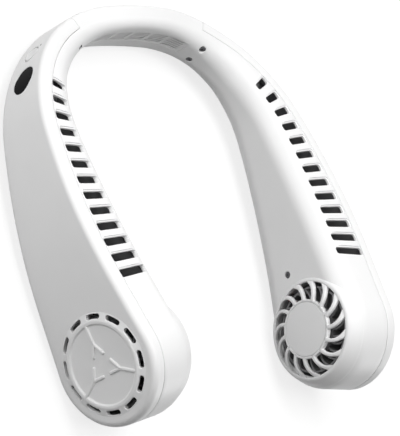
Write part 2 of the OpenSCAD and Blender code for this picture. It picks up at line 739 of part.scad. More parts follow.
// The rim round the grille, down to the pod's rounding
module grille_rim() {
    foot = edge_r(pod_s, -1) - wall / 4;
    depth = foot - sqrt(foot * foot - (rim_r - pod_r + foot) * (rim_r - pod_r + foot)) + wall / 4;
    translate([0, 0, inner_face])
        mirror([0, 0, 1])
            rotate_extrude()
                polygon([[grille_r - overrun, -wall], [grille_r - overrun, rim_h], [grille_r, rim_h],
                    [rim_r, -depth]]);
}
module screw_wells() {
    for (place = concat(neck_screw_places, [[pod_screw_s, pod_screw_z]]))
        on_inner(place[0], place[1]) {
            disc(well_r, -well_depth, well_depth + 2 * overrun);
            disc(screw_r + 2 * seat_gap, -neck_boss_stop - overrun, neck_boss_stop);
        }
}
// Bosses on the band's inner wall that meet the covers' at the neck screws
module frame_bosses() {
    for (place = neck_screw_places)
        at_station(place[0])
            translate([0, wall / 2 + edge_drop(place[0], place[1], -1, 0) - width(place[0]) / 2, place[1]])
                rotate([-90, 0, 0])
                    cylinder(r = neck_boss_r, h = neck_boss_stop - seat_gap - wall / 2
                        - edge_drop(place[0], place[1], -1, 0));
}
// Posts on the left arm's inner wall that carry the control board
module board_posts() {
    at_station(board_s)
        for (x = [-post_x, post_x])
            translate([x, board_face - board_t - seat_gap, board_z])
                rotate([90, 0, 0])
                    cylinder(r = post_r, h = board_face - board_t - seat_gap + width(board_s) / 2 - wall / 4
                        + post_x * post_x / (2 * corner_r));
}
// Stadium in plan, long side along X, about its own outline grown by gap
module stadium(l, w, gap) {
    square([l - w, w + 2 * gap], center = true);
    for (x = [-1, 1])
        translate([x * (l - w) / 2, 0])
            circle(w / 2 + gap);
}
module port_cut() {
    at_station(port_s)
        translate([0, port_t, -half_h(port_s) - overrun])
            linear_extrude(2 * wall + 2 * overrun)
                stadium(port_w, port_h, seat_gap);
}
module main_frame() {
    color(WHITE)
        placed() {
            difference() {
                union() {
                    tray();
                    bridge_lid();
                    both() {
                        frame_bosses();
                        at_pod()
                            grille_rim();
                    }
                }
                both() {
                    outlet_cuts();
                    screw_wells();
                    at_pod()
                        rotate(seam_turn)
                            disc(grille_r, inner_face - rim_h - overrun, rim_h + 2 * wall + 2 * overrun);
                }
                inner_bar(-panel_s - seat_gap, panel_s + seat_gap, -overrun, panel_sink + panel_t + seat_gap,
                    panel_half + seat_gap);
                inner_bar(-panel_s + ledge_w, panel_s - ledge_w, 0, 2 * wall, panel_half - ledge_w);
                left()
                    port_cut();
            }
            both()
                at_pod()
                    grille();
            left()
                board_posts();
        }
}

// Outer covers: trays that close the arms, with intake slots and a pod disc
module intake_cuts() {
    for (i = [0 : ring_slots - 1])
        rotate(360 * (i + 0.5) / ring_slots)
            translate([0, 0, outer_face - wall - overrun])
                linear_extrude(wall + 2 * overrun)
                    arc_slot(ring_r, ring_slot_w, ring_slot_angle);
}
// A slot bent round the origin, with round ends
module arc_slot(r, w, angle) {
    intersection() {
        difference() {
            circle(r + w / 2);
            circle(r - w / 2);
        }
        polygon([[0, 0], [2 * r, -2 * r * tan(angle / 2)], [2 * r, 2 * r * tan(angle / 2)]]);
    }
}
module disc_mark() {
    square_from([-disc_r + disc_rim / 2, 0], [-fork_r, 0], mark_w);
    for (m = [-1, 1])
        square_from([-fork_r, 0], [-fork_end_r * cos(fork_angle), m * fork_end_r * sin(fork_angle)], mark_w);
}
// A bar in plan from one point to another, with round ends
module square_from(a, b, w) {
    d = b - a;
    translate(a)
        rotate(atan2(d[1], d[0])) {
            translate([0, -w / 2])
                square([norm(d), w]);
            circle(w / 2);
            translate([norm(d), 0])
                circle(w / 2);
        }
}
module pod_disc() {
    translate([0, 0, outer_face - seat_gap]) {
        cylinder(r = disc_r, h = disc_h - disc_sink + seat_gap);
        pipe(disc_r, disc_r - disc_rim, 0, disc_h + seat_gap);
        linear_extrude(disc_h + seat_gap)
            for (i = [0 : 2])
                rotate(120 * i)
                    disc_mark();
    }
}
// Bosses that take the screws, from below a cover's face to a stop short of
// the frame's inner wall
module cover_boss(s, z, r, stop) {
    across_outer(s, z)
        difference() {
            disc(r, stop - width(s), width(s) - stop - wall + overrun);
            disc(screw_r + seat_gap, stop - width(s) - overrun, width(s) - stop - 2 * wall);
        }
}
module outer_cover() {
    difference() {
        cover_lid();
        at_pod()
            intake_cuts();
    }
    at_pod()
        pod_disc();
    for (z = [neck_screw_top, neck_screw_bottom])
        cover_boss(neck_screw_s, z, neck_boss_r, neck_boss_stop);
    cover_boss(pod_screw_s, pod_screw_z, pod_boss_r, wall + fit_gap);
}
module window_plan(gap) {
    rotate(window_tilt)
        stadium(window_l, window_w, gap);
}
module control_cuts() {
    low = -wall - 2 * overrun;
    high = wall + 4 * overrun;
    on_outer(button_s, button_z)
        disc(button_r + fit_gap, low, high);
    on_outer(window_s, window_z)
        translate([0, 0, low])
            linear_extrude(high)
                window_plan(seat_gap);
    on_outer(light_s, light_z)
        disc(light_r + seat_gap, low, high);
}
module left_outer_cover() {
    color(WHITE)
        placed()
            left()
                difference() {
                    outer_cover();
                    control_cuts();
                }
}
module right_outer_cover() {
    color(WHITE)
        placed()
            outer_cover();
}

// Hub caps: plain discs that hide the motor seats
module hub_cap() {
    color(WHITE)
        at_pod()
            disc(cap_r, inner_face - hub_h, cap_t);
}
module left_hub_cap() {
    placed()
        left()
            hub_cap();
}
module right_hub_cap() {
    placed()
        hub_cap();
}

// Louvre panel in the inner face of the neck band
module neck_louvre_panel() {
    pitch_s = 2 * (panel_s - ledge_w) / louvre_cols;
    pitch_z = 2 * (panel_half - ledge_w / 2) / louvre_rows;
    color(WHITE)
        placed()
            difference() {
                inner_bar(-panel_s, panel_s, panel_sink, panel_sink + panel_t, panel_half);
                for (c = [0 : louvre_cols - 1])
                    for (r = [0 : louvre_rows - 1])
                        louvre_cut((c + 0.5 - louvre_cols / 2) * pitch_s,
                            panel_z + (r + 0.5 - louvre_rows / 2) * pitch_z, pitch_s - louvre_bar);
            }
}
module louvre_cut(s, z, l) {
    mirror([s < 0 ? 1 : 0, 0, 0])
        on_inner(abs(s), z)
            translate([-l / 2, -louvre_h / 2, -panel_t - overrun])
                cube([l, louvre_h, panel_t + 3 * overrun]);
}

// Self-tapping screws, heads at the bottom of their wells
module screw(l) {
    translate([0, 0, -well_depth + seat_gap])
        difference() {
            union() {
                cylinder(r = screw_head_r, h = screw_head_h);
                translate([0, 0, -l])
                    cylinder(r = screw_r, h = l + seat_gap);
            }
            for (a = [0, 90])
                rotate(a)
                    translate([-screw_head_r / 2, -recess_share * screw_head_r / 2, screw_head_h / 2])
                        cube([screw_head_r, recess_share * screw_head_r, screw_head_h]);
        }
}
module neck_screws() {
    color("silver")
        placed()
            both()
                for (z = [neck_screw_top, neck_screw_bottom])
                    on_inner(neck_screw_s, z)
                        screw(neck_screw_l);
}
module pod_screws() {
    color("silver")
        placed()
            both()
                on_inner(pod_screw_s, pod_screw_z)
                    screw(pod_screw_l);
}

// Power button on the left cover: a cap, its retaining flange and a plunger
module power_button() {
    color(WHITE)
        placed()
            left()
                on_outer(button_s, button_z) {
                    disc(button_r, -button_t, button_t);
                    disc(button_r + button_flange, -button_t - flange_t, flange_t);
                    disc(plunger_r, -button_t - flange_t - plunger_l, plunger_l);
                }
}

// Control board on its posts, with the switch and the display module on it.
// board_x is where the radius through s meets the board
function board_x(s) = (corner_r + board_face) * sin(heading(s) - heading(board_s));
module on_board(s, z) {
    at_station(board_s)
        translate([board_x(s), board_face + seat_gap, z])
            rotate([-90, 0, 0])
                children();
}
module block(l, w, z, h) {
    translate([-l / 2, -w / 2, z])
        cube([l, w, h]);
}
module control_board() {
    color("darkgreen")
        placed()
            left()
                at_station(board_s)
                    translate([0, board_face, board_z])
                        rotate([90, 0, 0]) {
                            block(board_l, board_h, 0, board_t);
                            for (i = [-1 : 1])
                                translate([i * board_l / 5, board_h / 4, 0])
                                    block(chip_l_share * board_l, chip_h_share * board_h, board_t - overrun,
                                        board_t + overrun);
                        }
}
module power_switch() {
    color(DARK)
        placed()
            left()
                on_board(button_s, button_z) {
                    block(switch_w, switch_w, 0, switch_h);
                    disc(stem_r, switch_h, stem_h);
                }
}
module display_window() {
    color(BLACK)
        placed()
            left()
                on_outer(window_s, window_z)
                    translate([0, 0, -window_t - window_sink])
                        linear_extrude(window_t)
                            window_plan(0);
}
module display_module() {
    color(DARK)
        placed()
            left()
                on_board(window_s, window_z)
                    block(module_l, module_w, 0, module_h);
}
module status_light() {
    color("whitesmoke")
        placed()
            left()
                on_outer(light_s, light_z) {
                    disc(light_r, -light_l, light_l);
                    disc(2 * light_r, -wall - fit_gap - 2 * light_r, 2 * light_r);
                }
}

// Charging socket: a sheet-metal shell round a tongue, open downwards
module charging_socket() {
    color("silver")
        placed()
            left()
                at_station(port_s)
                    translate([0, port_t, port_sink - half_h(port_s)]) {
                        difference() {
                            linear_extrude(port_l)
                                stadium(port_w, port_h, 0);
                            translate([0, 0, -overrun])
                                linear_extrude(port_l - port_sheet + overrun)
                                    stadium(port_w, port_h, -port_sheet);
                        }
                        linear_extrude(port_l)
                            square([port_w * tongue_share, 2 * port_sheet], center = true);
                    }
}

// Battery cells, one low in each arm
module battery() {
    cell_z = wall + fit_gap + cell_h / 2 - half_h(cell_s) * cos(rise(cell_s));
    color("silver")
        at_station(cell_s)
            rotate([0, rise(cell_s), 0])
                translate([-cell_l / 2, cell_t, cell_z])
                    rotate([90, 0, 90])
                        linear_extrude(cell_l)
                            rounded_rect(cell_w, cell_h, cell_r);
}
module left_battery() {
    placed()
        left()
            battery();
}
module right_battery() {
    placed()
        battery();
}

// Air ducts: troughs under the outlets, shallow at the neck end
function duct_top(s) = half_h(s) - duct_drop;
function duct_floor(s) = duct_floor_z + (duct_top(duct_start) - duct_lip - duct_floor_z)
    * (1 - smooth((s - duct_start) / (duct_deep_s - duct_start)));
function duct_profile(s) = let(b = width(s) / 2 - wall - duct_fit, a = width(s) / 2 - wall - duct_side,
    top = duct_top(s), f = duct_floor(s), g = f - duct_t,
    u = edge_drop(s, f, -1, wall) + duct_fit - width(s) / 2,
    v = edge_drop(s, top, -1, wall) + duct_fit - width(s) / 2)
    [[v, f], [u, f], [u, g], [b, g], [b, f], [a, f], [a, top], [a - duct_t, top], [a - duct_t, f],
        [v + duct_t, f], [v + duct_t, top], [v, top]];
duct_cap = [[9, 10, 11], [0, 9, 11], [5, 6, 7], [8, 5, 7], [0, 1, 2], [9, 0, 2], [8, 9, 2], [5, 8, 2],
    [4, 5, 2], [3, 4, 2]];
module air_duct() {
    color(DARK)
        swept(duct_start, duct_end, function(s) duct_profile(s), duct_cap);
}
module left_air_duct() {
    placed()
        left()
            air_duct();
}
module right_air_duct() {
    placed()
        air_duct();
}

// Scrolls: walls round the impellers with a mouth towards the duct
module scroll() {
    low = inner_face + wall + scroll_in;
    high = outer_face - wall - scroll_end;
    reach = 2 * pod_r;
    spread = reach * tan(scroll_mouth);
    color(DARK)
        at_pod()
            difference() {
                pipe(scroll_r + scroll_t, scroll_r, low, high - low);
                translate([0, 0, low - overrun])
                    linear_extrude(high - low + 2 * overrun)
                        rotate(-mouth_at)
                            polygon([[0, 0], [reach, -spread], [reach, spread]]);
                translate([0, 0, low - overrun])
                    linear_extrude(4 * lead_r)
                        rotate(-lead_gate)
                            translate([scroll_r - scroll_t, -3 * lead_r])
                                square([3 * scroll_t, 6 * lead_r]);
            }
}
module left_scroll() {
    placed()
        left()
            scroll();
}
module right_scroll() {
    placed()
        scroll();
}

// Leads: round tubes along points [s, t, z], smoothed between the points
function spline(a, b, c, d, u) = 0.5 * ((2 * b) + (c - a) * u + (2 * a - 5 * b + 4 * c - d) * u * u
    + (3 * b - a - 3 * c + d) * u * u * u);
function smooth_route(p, steps) = let(n = len(p)) concat(
    [for (i = [0 : n - 2]) for (k = [0 : steps - 1])
        spline(p[max(0, i - 1)], p[i], p[i + 1], p[min(n - 1, i + 2)], k / steps)], [p[n - 1]]);
module lead(route) {
    sides = 8;
    path = [for (q = smooth_route(route, 3)) at(q[0], q[1], q[2])];
    n = len(path);
    function tangent(i) = let(d = path[min(n - 1, i + 1)] - path[max(0, i - 1)]) d / norm(d);
    points = [for (i = [0 : n - 1])
        let(t = tangent(i), u = cross([0, 0, 1], t), v = u / norm(u), w = cross(t, v))
        for (k = [0 : sides - 1]) let(a = 360 * k / sides) path[i] + lead_r * (cos(a) * v + sin(a) * w)];
    walls = [for (i = [0 : n - 2]) for (k = [0 : sides - 1])
        let(a = sides * i + k, b = sides * i + (k + 1) % sides)
            for (f = [[a, b + sides, b], [a, a + sides, b + sides]]) f];
    ends = [for (k = [1 : sides - 2]) for (f = [[0, k, k + 1],
        [sides * (n - 1), sides * (n - 1) + k + 1, sides * (n - 1) + k]]) f];
    color("firebrick")
        polyhedron(points = points, faces = concat(walls, ends), convexity = 6);
}
module left_battery_lead() {
    placed()
        lead(mirrored(left_cell_route));
}
module right_battery_lead() {
    placed()
        lead(right_cell_route);
}
module left_motor_lead() {
    placed()
        lead(mirrored(concat(left_motor_start, motor_route)));
}
module right_motor_lead() {
    placed()
        lead(concat(right_motor_start, motor_route));
}

// Motors, drawn on the pod's axis
module motor_board() {
    color("darkgreen")
        at_pod()
            pipe(motor_board_r, tube_r + seat_gap, base_z + seat_gap, board_t);
}
module bearing_tube() {
    color("goldenrod")
        at_pod()
            pipe(tube_r, bearing_r + press_gap, tube_low, tube_top - tube_low);
}
module bearings() {
    color("peru")
        at_pod() {
            pipe(bearing_r, shaft_r + shaft_gap, tube_low + 2 * seat_gap, bearing_l);
            pipe(bearing_r, shaft_r + shaft_gap, tube_top - bearing_l, bearing_l);
        }
}
module stator() {
    color("dimgray")
        at_pod()
            translate([0, 0, stack_mid - stator_h / 2])
                linear_extrude(stator_h)
                    difference() {
                        union() {
                            circle(yoke_r);
                            for (i = [0 : stator_teeth - 1])
                                rotate(360 * i / stator_teeth) {
                                    translate([yoke_r - tooth_w / 2, -tooth_w / 2])
                                        square([stator_r - yoke_r, tooth_w]);
                                    arc_slot(stator_r - tooth_w / 2, tooth_w, shoe_share * 360 / stator_teeth);
                                }
                        }
                        circle(tube_r + press_gap);
                    }
}
module windings() {
    tooth_half = tooth_w / 2 + press_gap;
    coil_half = tooth_w / 2 + coil_over;
    coil_l = sqrt(pow(stator_r - tooth_w - seat_gap, 2) - coil_half * coil_half) - yoke_r - seat_gap;
    color("chocolate")
        at_pod()
            for (i = [0 : stator_teeth - 1])
                rotate(360 * i / stator_teeth)
                    translate([yoke_r + seat_gap, 0, stack_mid])
                        difference() {
                            translate([0, -coil_half, -stator_h / 2 - coil_over])
                                cube([coil_l, 2 * coil_half, stator_h + 2 * coil_over]);
                            translate([-overrun, -tooth_half, -stator_h / 2 - press_gap])
                                cube([coil_l + 2 * overrun, 2 * tooth_half, stator_h + 2 * press_gap]);
                        }
}
module shaft() {
    color("silver")
        at_pod()
            disc(shaft_r, tube_low + seat_gap, cup_top - tube_low - seat_gap);
}
module rotor_cup() {
    color("gray")
        at_pod()
            difference() {
                union() {
                    pipe(cup_r, cup_r - cup_t, cup_low, cup_h);
                    disc(cup_r - cup_t / 2, cup_top - cup_t, cup_t);
                    disc(tube_r, cup_top - 2 * cup_t, cup_t + overrun);
                }
                disc(shaft_r + press_gap, cup_low, cup_h + overrun);
            }
}
module magnet_ring() {
    color(DARK)
        at_pod()
            pipe(cup_r - cup_t - press_gap, cup_r - cup_t - magnet_t, stack_mid - magnet_h / 2, magnet_h);
}
module impeller() {
    blades_low = inner_face + blade_in;
    blades_high = outer_face - blade_out;
    plate_z = cup_top + seat_gap;
    color(DARK)
        at_pod() {
            pipe(fan_hub_r, fan_hub_r - fan_skirt, cup_low, plate_z - cup_low + plate_t / 2);
            disc(fan_r - blade_t, plate_z, plate_t);
            translate([0, 0, blades_low])
                linear_extrude(blades_high - blades_low)
                    bent_blades(fan_blades, fan_hub_r - fan_skirt / 2, fan_r - blade_t / 2, blade_bend,
                        blade_t);
            pipe(fan_r, fan_r - blade_t, blades_low, blade_t);
            pipe(fan_r, fan_r - blade_t, blades_high - blade_t, blade_t);
        }
}
module left_motor_board() {
    placed()
        left()
            motor_board();
}
module right_motor_board() {
    placed()
        motor_board();
}
module left_bearing_tube() {
    placed()
        left()
            bearing_tube();
}
module right_bearing_tube() {
    placed()
        bearing_tube();
}
module left_bearings() {
    placed()
        left()
            bearings();
}
module right_bearings() {
    placed()
        bearings();
}
module left_stator() {
    placed()
        left()
            stator();
}
module right_stator() {
    placed()
        stator();
}
module left_windings() {
    placed()
        left()
            windings();
}
module right_windings() {
    placed()
        windings();
}
module left_shaft() {
    placed()
        left()
            shaft();
}
module right_shaft() {
    placed()
        shaft();
}
module left_rotor_cup() {
    placed()
        left()
            rotor_cup();
}
module right_rotor_cup() {
    placed()
        rotor_cup();
}
module left_magnet_ring() {
    placed()
        left()
            magnet_ring();
}
module right_magnet_ring() {
    placed()
        magnet_ring();
}
module left_impeller() {
    placed()
        left()
            impeller();
}
module right_impeller() {
    placed()
        impeller();
}

main_frame();
left_outer_cover();
right_outer_cover();
left_hub_cap();
right_hub_cap();
neck_louvre_panel();
neck_screws();
pod_screws();
power_button();
power_switch();
display_window();
display_module();
status_light();
control_board();
charging_socket();
left_battery();
right_battery();
left_air_duct();
right_air_duct();
left_scroll();
right_scroll();
left_battery_lead();
right_battery_lead();
left_motor_lead();
right_motor_lead();
left_motor_board();
right_motor_board();
left_bearing_tube();
right_bearing_tube();
left_bearings();
right_bearings();
left_stator();
right_stator();
left_windings();
right_windings();
left_shaft();
right_shaft();
left_rotor_cup();
right_rotor_cup();
left_magnet_ring();
right_magnet_ring();
left_impeller();
right_impeller();
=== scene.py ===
import json
import math
from collections import namedtuple

import bpy
import bmesh
import numpy as np
from mathutils import Matrix, Vector
from mathutils.bvhtree import BVHTree


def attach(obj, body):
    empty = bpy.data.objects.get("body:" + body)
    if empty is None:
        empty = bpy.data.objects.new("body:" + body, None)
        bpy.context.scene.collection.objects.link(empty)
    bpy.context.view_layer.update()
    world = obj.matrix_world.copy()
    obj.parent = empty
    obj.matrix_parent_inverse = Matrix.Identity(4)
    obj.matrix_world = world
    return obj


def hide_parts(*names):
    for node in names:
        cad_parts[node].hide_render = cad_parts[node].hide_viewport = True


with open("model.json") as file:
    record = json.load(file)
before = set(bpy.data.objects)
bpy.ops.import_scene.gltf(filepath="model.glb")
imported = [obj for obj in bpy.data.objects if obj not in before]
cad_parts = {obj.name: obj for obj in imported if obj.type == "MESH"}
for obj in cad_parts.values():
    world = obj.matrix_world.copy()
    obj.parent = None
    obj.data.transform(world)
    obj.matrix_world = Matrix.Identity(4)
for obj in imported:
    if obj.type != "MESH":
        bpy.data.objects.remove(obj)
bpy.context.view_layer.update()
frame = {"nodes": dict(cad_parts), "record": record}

# Metres in a millimetre
MM = 0.001

# Sizes of the fan in millimetres and degrees, as in the part's source
NECK_R, NECK_ANGLE = 198.0, 5.2
CORNER_R, CORNER_ANGLE = 60.1, 78.6
SIDE_R, SIDE_ANGLE = 300.0, 14.0
POD_RUN = 24.1
BACK_H, WAIST_H, WAIST_S, WAIST_RISE = 25.5, 20.8, 55.0, 0.068
BAND_W, POD_W, SWELL_RUN, POD_R, FLANK_ANGLE = 11.2, 28.5, 154.5, 26.6, 7.75
LEAN_BACK, LEAN_ARM, LEAN_RUN = 2.9, 1.5, 64.7
OUTER_EDGE_R, INNER_EDGE_R, ROUND_SHARE, WALL = 2.8, 10.0, 0.85, 1.6
COVER_S, SEAM_DEPTH, SEAM_GAP = 40.5, 6.3, 0.15
DISC_R, DISC_H, DISC_RIM, DISC_SINK = 18.4, 1.2, 1.9, 0.5
RING_R, RING_SLOT_W, RING_SLOT_ANGLE, RING_SLOTS = 20.0, 2.0, 21.0, 12
MARK_W, FORK_R, FORK_END_R, FORK_ANGLE = 1.1, 9.0, 4.8, 40.0
OUTLETS, OUTLET_LAST_S, OUTLET_PITCH, OUTLET_SPREAD = 13, 168.1, 7.06, 4.4
OUTLET_W, OUTLET_FIRST, OUTLET_LAST = 3.5, 6.9, 15.8
LIP_W, LIP_DEPTH = 0.7, 0.5
GRILLE_R, RIM_H, HUB_R, HUB_H = 21.4, 1.1, 13.3, 3.2
GRILLE_RIBS, RIB_W, RIB_BEND, DOME_T, CAP_R, CAP_T = 15, 1.7, 8.5, 1.6, 12.15, 1.0
PANEL_S, PANEL_Z, PANEL_HALF, PANEL_SINK, PANEL_T, LEDGE_W = 36.2, 2.0, 4.2, 0.15, 1.0, 1.2
LOUVRE_COLS, LOUVRE_ROWS, LOUVRE_H, LOUVRE_BAR = 6, 5, 0.8, 1.8
SCREW_R, WELL_R, WELL_DEPTH = 0.9, 1.7, 1.1
NECK_SCREWS = [(44.4, 6.5), (44.4, -2.5)]
POD_SCREW = (169.3, -5.1)
BUTTON_S, BUTTON_Z, BUTTON_R, BUTTON_T = 62.0, -0.3, 3.7, 2.3
WINDOW_S, WINDOW_Z, WINDOW_L, WINDOW_W, WINDOW_TILT = 76.0, 0.0, 12.2, 10.4, 37.0
WINDOW_T, WINDOW_SINK = 1.5, 0.15
LIGHT_S, LIGHT_Z, LIGHT_R = 58.9, 4.0, 0.5
PORT_S, PORT_T, PORT_W, PORT_H = 66.0, -2.2, 8.9, 3.2
FIT_GAP, SEAT_GAP = 0.25, 0.05
# Pitch and shift that stand the fan on the floor, as the source works them out
PITCH, STANCE = -5.27353, (0.0, 86.1614, 12.8243)

# Sizes of the visual model alone
# Rounding of the shells' lips, and the gap round the window
LIP, WINDOW_GAP = 0.27, 0.06
# The smooth skin lies just inside the source's facets, and further inside them towards the tip
SKIN_TRIM, TIP_TRIM, TIP_TRIM_FROM, TIP_TRIM_RUN = 0.03, 0.13, 150.0, 40.0
# Slope between a pod's disc and its face, and the undercut of the intake slots in it
SLOPE_TOP_R, SLOPE_R, SLOPE_H, UNDERCUT = 18.3, 21.5, 0.95, 1.3
# The grille's rim: where its foot ends, its height, and how deep its foot sinks into the pod
RIM_FOOT_R, RIM_TOP, FOOT_SINK = 25.9, 0.55, 0.11
# The disc's floor lies a little deeper than in the solid, and the forks' free ends stop short
FLOOR_SINK, FORK_TRIM = DISC_SINK + 0.22, 0.68
# The hub's thickness, how much wider than the grille its hole is and by how much it is turned, and how far
# the ribs run into the rim
HUB_T, HOLE_OVER, HOLE_TURN, RIB_OVER = 2.1, 0.6, 1.3, 0.7
# How much wider a rib gets at the rim and at the hub, how far inside that radius it starts, and over what run
RIM_FLARE, RIM_FLARE_FROM, RIM_FLARE_RUN = 0.35, 2.2, 2.4
HUB_FLARE, HUB_FLARE_FROM, HUB_FLARE_RUN = 0.3, 0.4, 1.6
# Radius at which a turned piece closes on its axis
AXIS_R = 0.01

NECK_L = NECK_R * math.radians(NECK_ANGLE)
CORNER_L = CORNER_R * math.radians(CORNER_ANGLE)
SIDE_L = SIDE_R * math.radians(SIDE_ANGLE)
CORNER_END = NECK_L + CORNER_L
SIDE_END = CORNER_END + SIDE_L
POD_S = SIDE_END + POD_RUN
TIP_HEADING = NECK_ANGLE + CORNER_ANGLE + SIDE_ANGLE
FLANK_S = POD_S - POD_R * math.sin(math.radians(FLANK_ANGLE))
FLANK_H = POD_R * math.cos(math.radians(FLANK_ANGLE))

# The band in its own coordinates: s along it, t outward, z up
# Half the step over which the slope of its edge is taken
SLOPE_STEP = 0.01


def smooth(u):
    v = np.clip(u, 0, 1)
    return v * v * (3 - 2 * v)


def hermite(u, a, b, da, db):
    return ((2 * u**3 - 3 * u**2 + 1) * a + (3 * u**2 - 2 * u**3) * b
            + (u**3 - 2 * u**2 + u) * da + (u**3 - u**2) * db)


def heading(s):
    return np.where(s < NECK_L, NECK_ANGLE * s / NECK_L, np.where(
        s < CORNER_END, NECK_ANGLE + CORNER_ANGLE * (s - NECK_L) / CORNER_L, np.where(
            s < SIDE_END, NECK_ANGLE + CORNER_ANGLE + SIDE_ANGLE * (s - CORNER_END) / SIDE_L, TIP_HEADING)))


def arc_step(r, a, b):
    a, b = np.radians(a), np.radians(b)
    return np.stack([r * (np.sin(b) - np.sin(a)), r * (np.cos(b) - np.cos(a))], -1)


def place_xy(s):
    h = heading(s)
    neck = arc_step(NECK_R, 0.0, NECK_ANGLE)
    corner = neck + arc_step(CORNER_R, NECK_ANGLE, NECK_ANGLE + CORNER_ANGLE)
    side = corner + arc_step(SIDE_R, NECK_ANGLE + CORNER_ANGLE, TIP_HEADING)
    tip = np.radians(TIP_HEADING)
    along = (s - SIDE_END)[..., None] * np.array([np.cos(tip), -np.sin(tip)])
    k = s[..., None]
    return np.where(k < NECK_L, arc_step(NECK_R, 0.0, h), np.where(
        k < CORNER_END, neck + arc_step(CORNER_R, NECK_ANGLE, h), np.where(
            k < SIDE_END, corner + arc_step(SIDE_R, NECK_ANGLE + CORNER_ANGLE, h), side + along)))


def lean(s):
    return LEAN_BACK + (LEAN_ARM - LEAN_BACK) * smooth(s / LEAN_RUN)


def trim(s):
    """How far the smooth skin lies inside the source's facets."""
    return SKIN_TRIM + TIP_TRIM * smooth((s - TIP_TRIM_FROM) / TIP_TRIM_RUN)


def width(s):
    return BAND_W + (POD_W - BAND_W) * smooth(s / SWELL_RUN) - 2 * SKIN_TRIM


def half_h(s):
    run = FLANK_S - WAIST_S
    back = hermite(s / WAIST_S, BACK_H / 2, WAIST_H / 2, 0, WAIST_RISE * WAIST_S)
    flank = hermite((s - WAIST_S) / run, WAIST_H / 2, FLANK_H, WAIST_RISE * run,
                    math.tan(math.radians(FLANK_ANGLE)) * run)
    return -trim(s) + np.where(s < WAIST_S, back, flank)


def rise(s):
    """Angle of the band's upper edge."""
    climb = half_h(s + SLOPE_STEP) - half_h(s - SLOPE_STEP)
    return np.where(s < SLOPE_STEP, 0.0, np.arctan(climb / (2 * SLOPE_STEP)))


def placed(p):
    """Stands the fan on the floor, and turns millimetres into metres."""
    c, d = math.cos(math.radians(PITCH)), math.sin(math.radians(PITCH))
    return np.stack([p[..., 0] + STANCE[0], p[..., 1] * c - p[..., 2] * d + STANCE[1],
                     p[..., 1] * d + p[..., 2] * c + STANCE[2]], -1) * MM


def at(s, t, z):
    """A point of the band, with s negative on the left arm."""
    s, t, z = np.broadcast_arrays(np.asarray(s, float), t, z)
    a, side = np.abs(s), np.where(s < 0, -1.0, 1.0)
    l, h, p = np.radians(lean(a)), np.radians(heading(a)), place_xy(a)
    out = t * np.cos(l) - z * np.sin(l)
    return placed(np.stack([side * (p[..., 0] + out * np.sin(h)), p[..., 1] + out * np.cos(h),
                            t * np.sin(l) + z * np.cos(l)], -1))


def at_pod(x, y, z):
    """A point on the right pod's own axis: x along the arm, y down, z outward along the shaft."""
    x, y, z = np.broadcast_arrays(np.asarray(x, float), y, z)
    s = np.full(x.shape, POD_S)
    h, l, p = math.radians(TIP_HEADING), math.radians(LEAN_ARM), place_xy(s)
    t, up = z, -y
    out = t * math.cos(l) - up * math.sin(l)
    return placed(np.stack([p[..., 0] + out * math.sin(h) + x * math.cos(h),
                            p[..., 1] + out * math.cos(h) - x * math.sin(h),
                            t * math.sin(l) + up * math.cos(l)], -1))


# Levels of a shell, each with its face (1 outer, -1 inner) and its inset from it, and either its angle round
# the rounded edge or its own depth, with an offset of its own
Level = namedtuple("Level", "face inset angle depth offset")


def level(face, inset, angle=0.0, depth=None, offset=0.0):
    return Level(face, inset, math.radians(angle), depth, offset)


def edge_r(s, face):
    return np.full(np.shape(s), OUTER_EDGE_R) if face > 0 else np.minimum(
        INNER_EDGE_R, ROUND_SHARE * (width(s) - SEAM_DEPTH))


def level_depth(s, lv):
    if lv.depth is not None:
        return np.full(np.shape(s), float(lv.depth))
    r = edge_r(s, lv.face) - lv.inset
    return lv.inset + r * (1 - math.cos(lv.angle))


def level_offset(s, lv):
    r = edge_r(s, lv.face) - lv.inset
    d = np.minimum(r, level_depth(s, lv) - lv.inset)
    return lv.inset + r - np.sqrt(np.maximum(0, r * r - (r - d) ** 2)) + lv.offset


def level_t(s, lv):
    return lv.face * (width(s) / 2 - level_depth(s, lv))


def edge_row(stations, lv):
    """Upper edge of a level at these stations, as s and z."""
    side, a = np.where(stations < 0, -1.0, 1.0), np.abs(stations)
    o, b = level_offset(a, lv), rise(a)
    return side * (a + o * np.sin(b)), half_h(a) - o * np.cos(b)


def outline(stations, lv, shift=0.0):
    """Upper edge of a level as rows of s, t, z: stations along the right arm, then round the tip."""
    a = np.array(stations, float)
    a[0] += shift
    s, z = edge_row(a, lv)
    r = POD_R - SKIN_TRIM - TIP_TRIM - level_offset(np.array([POD_S]), lv)[0]
    s = np.concatenate([s, POD_S + r * np.cos(TIP)])
    z = np.concatenate([z, r * np.sin(TIP)])
    return np.stack([s, level_t(np.abs(s), lv), z], -1)


# Meshes: points closer than these distances in metres are joined, and edges sharper than this angle show
WELD_DIST, DEGENERATE_DIST = 2e-7, 1e-7
SHARP_ANGLE = 34
# Limits for shading that is carried over a cut: distance to the uncut surface, and likeness of the normals of
# a face and of a corner, which is looked up a little inside its face
ON_SURFACE, SAME_FACE, SAME_CORNER, CORNER_PULL = 3e-5, 0.95, 0.8, 0.03
# Shortest blended normal that counts, and the determinant under which a triangle is flat
SHORT_NORMAL, FLAT_TRIANGLE = 0.1, 1e-24


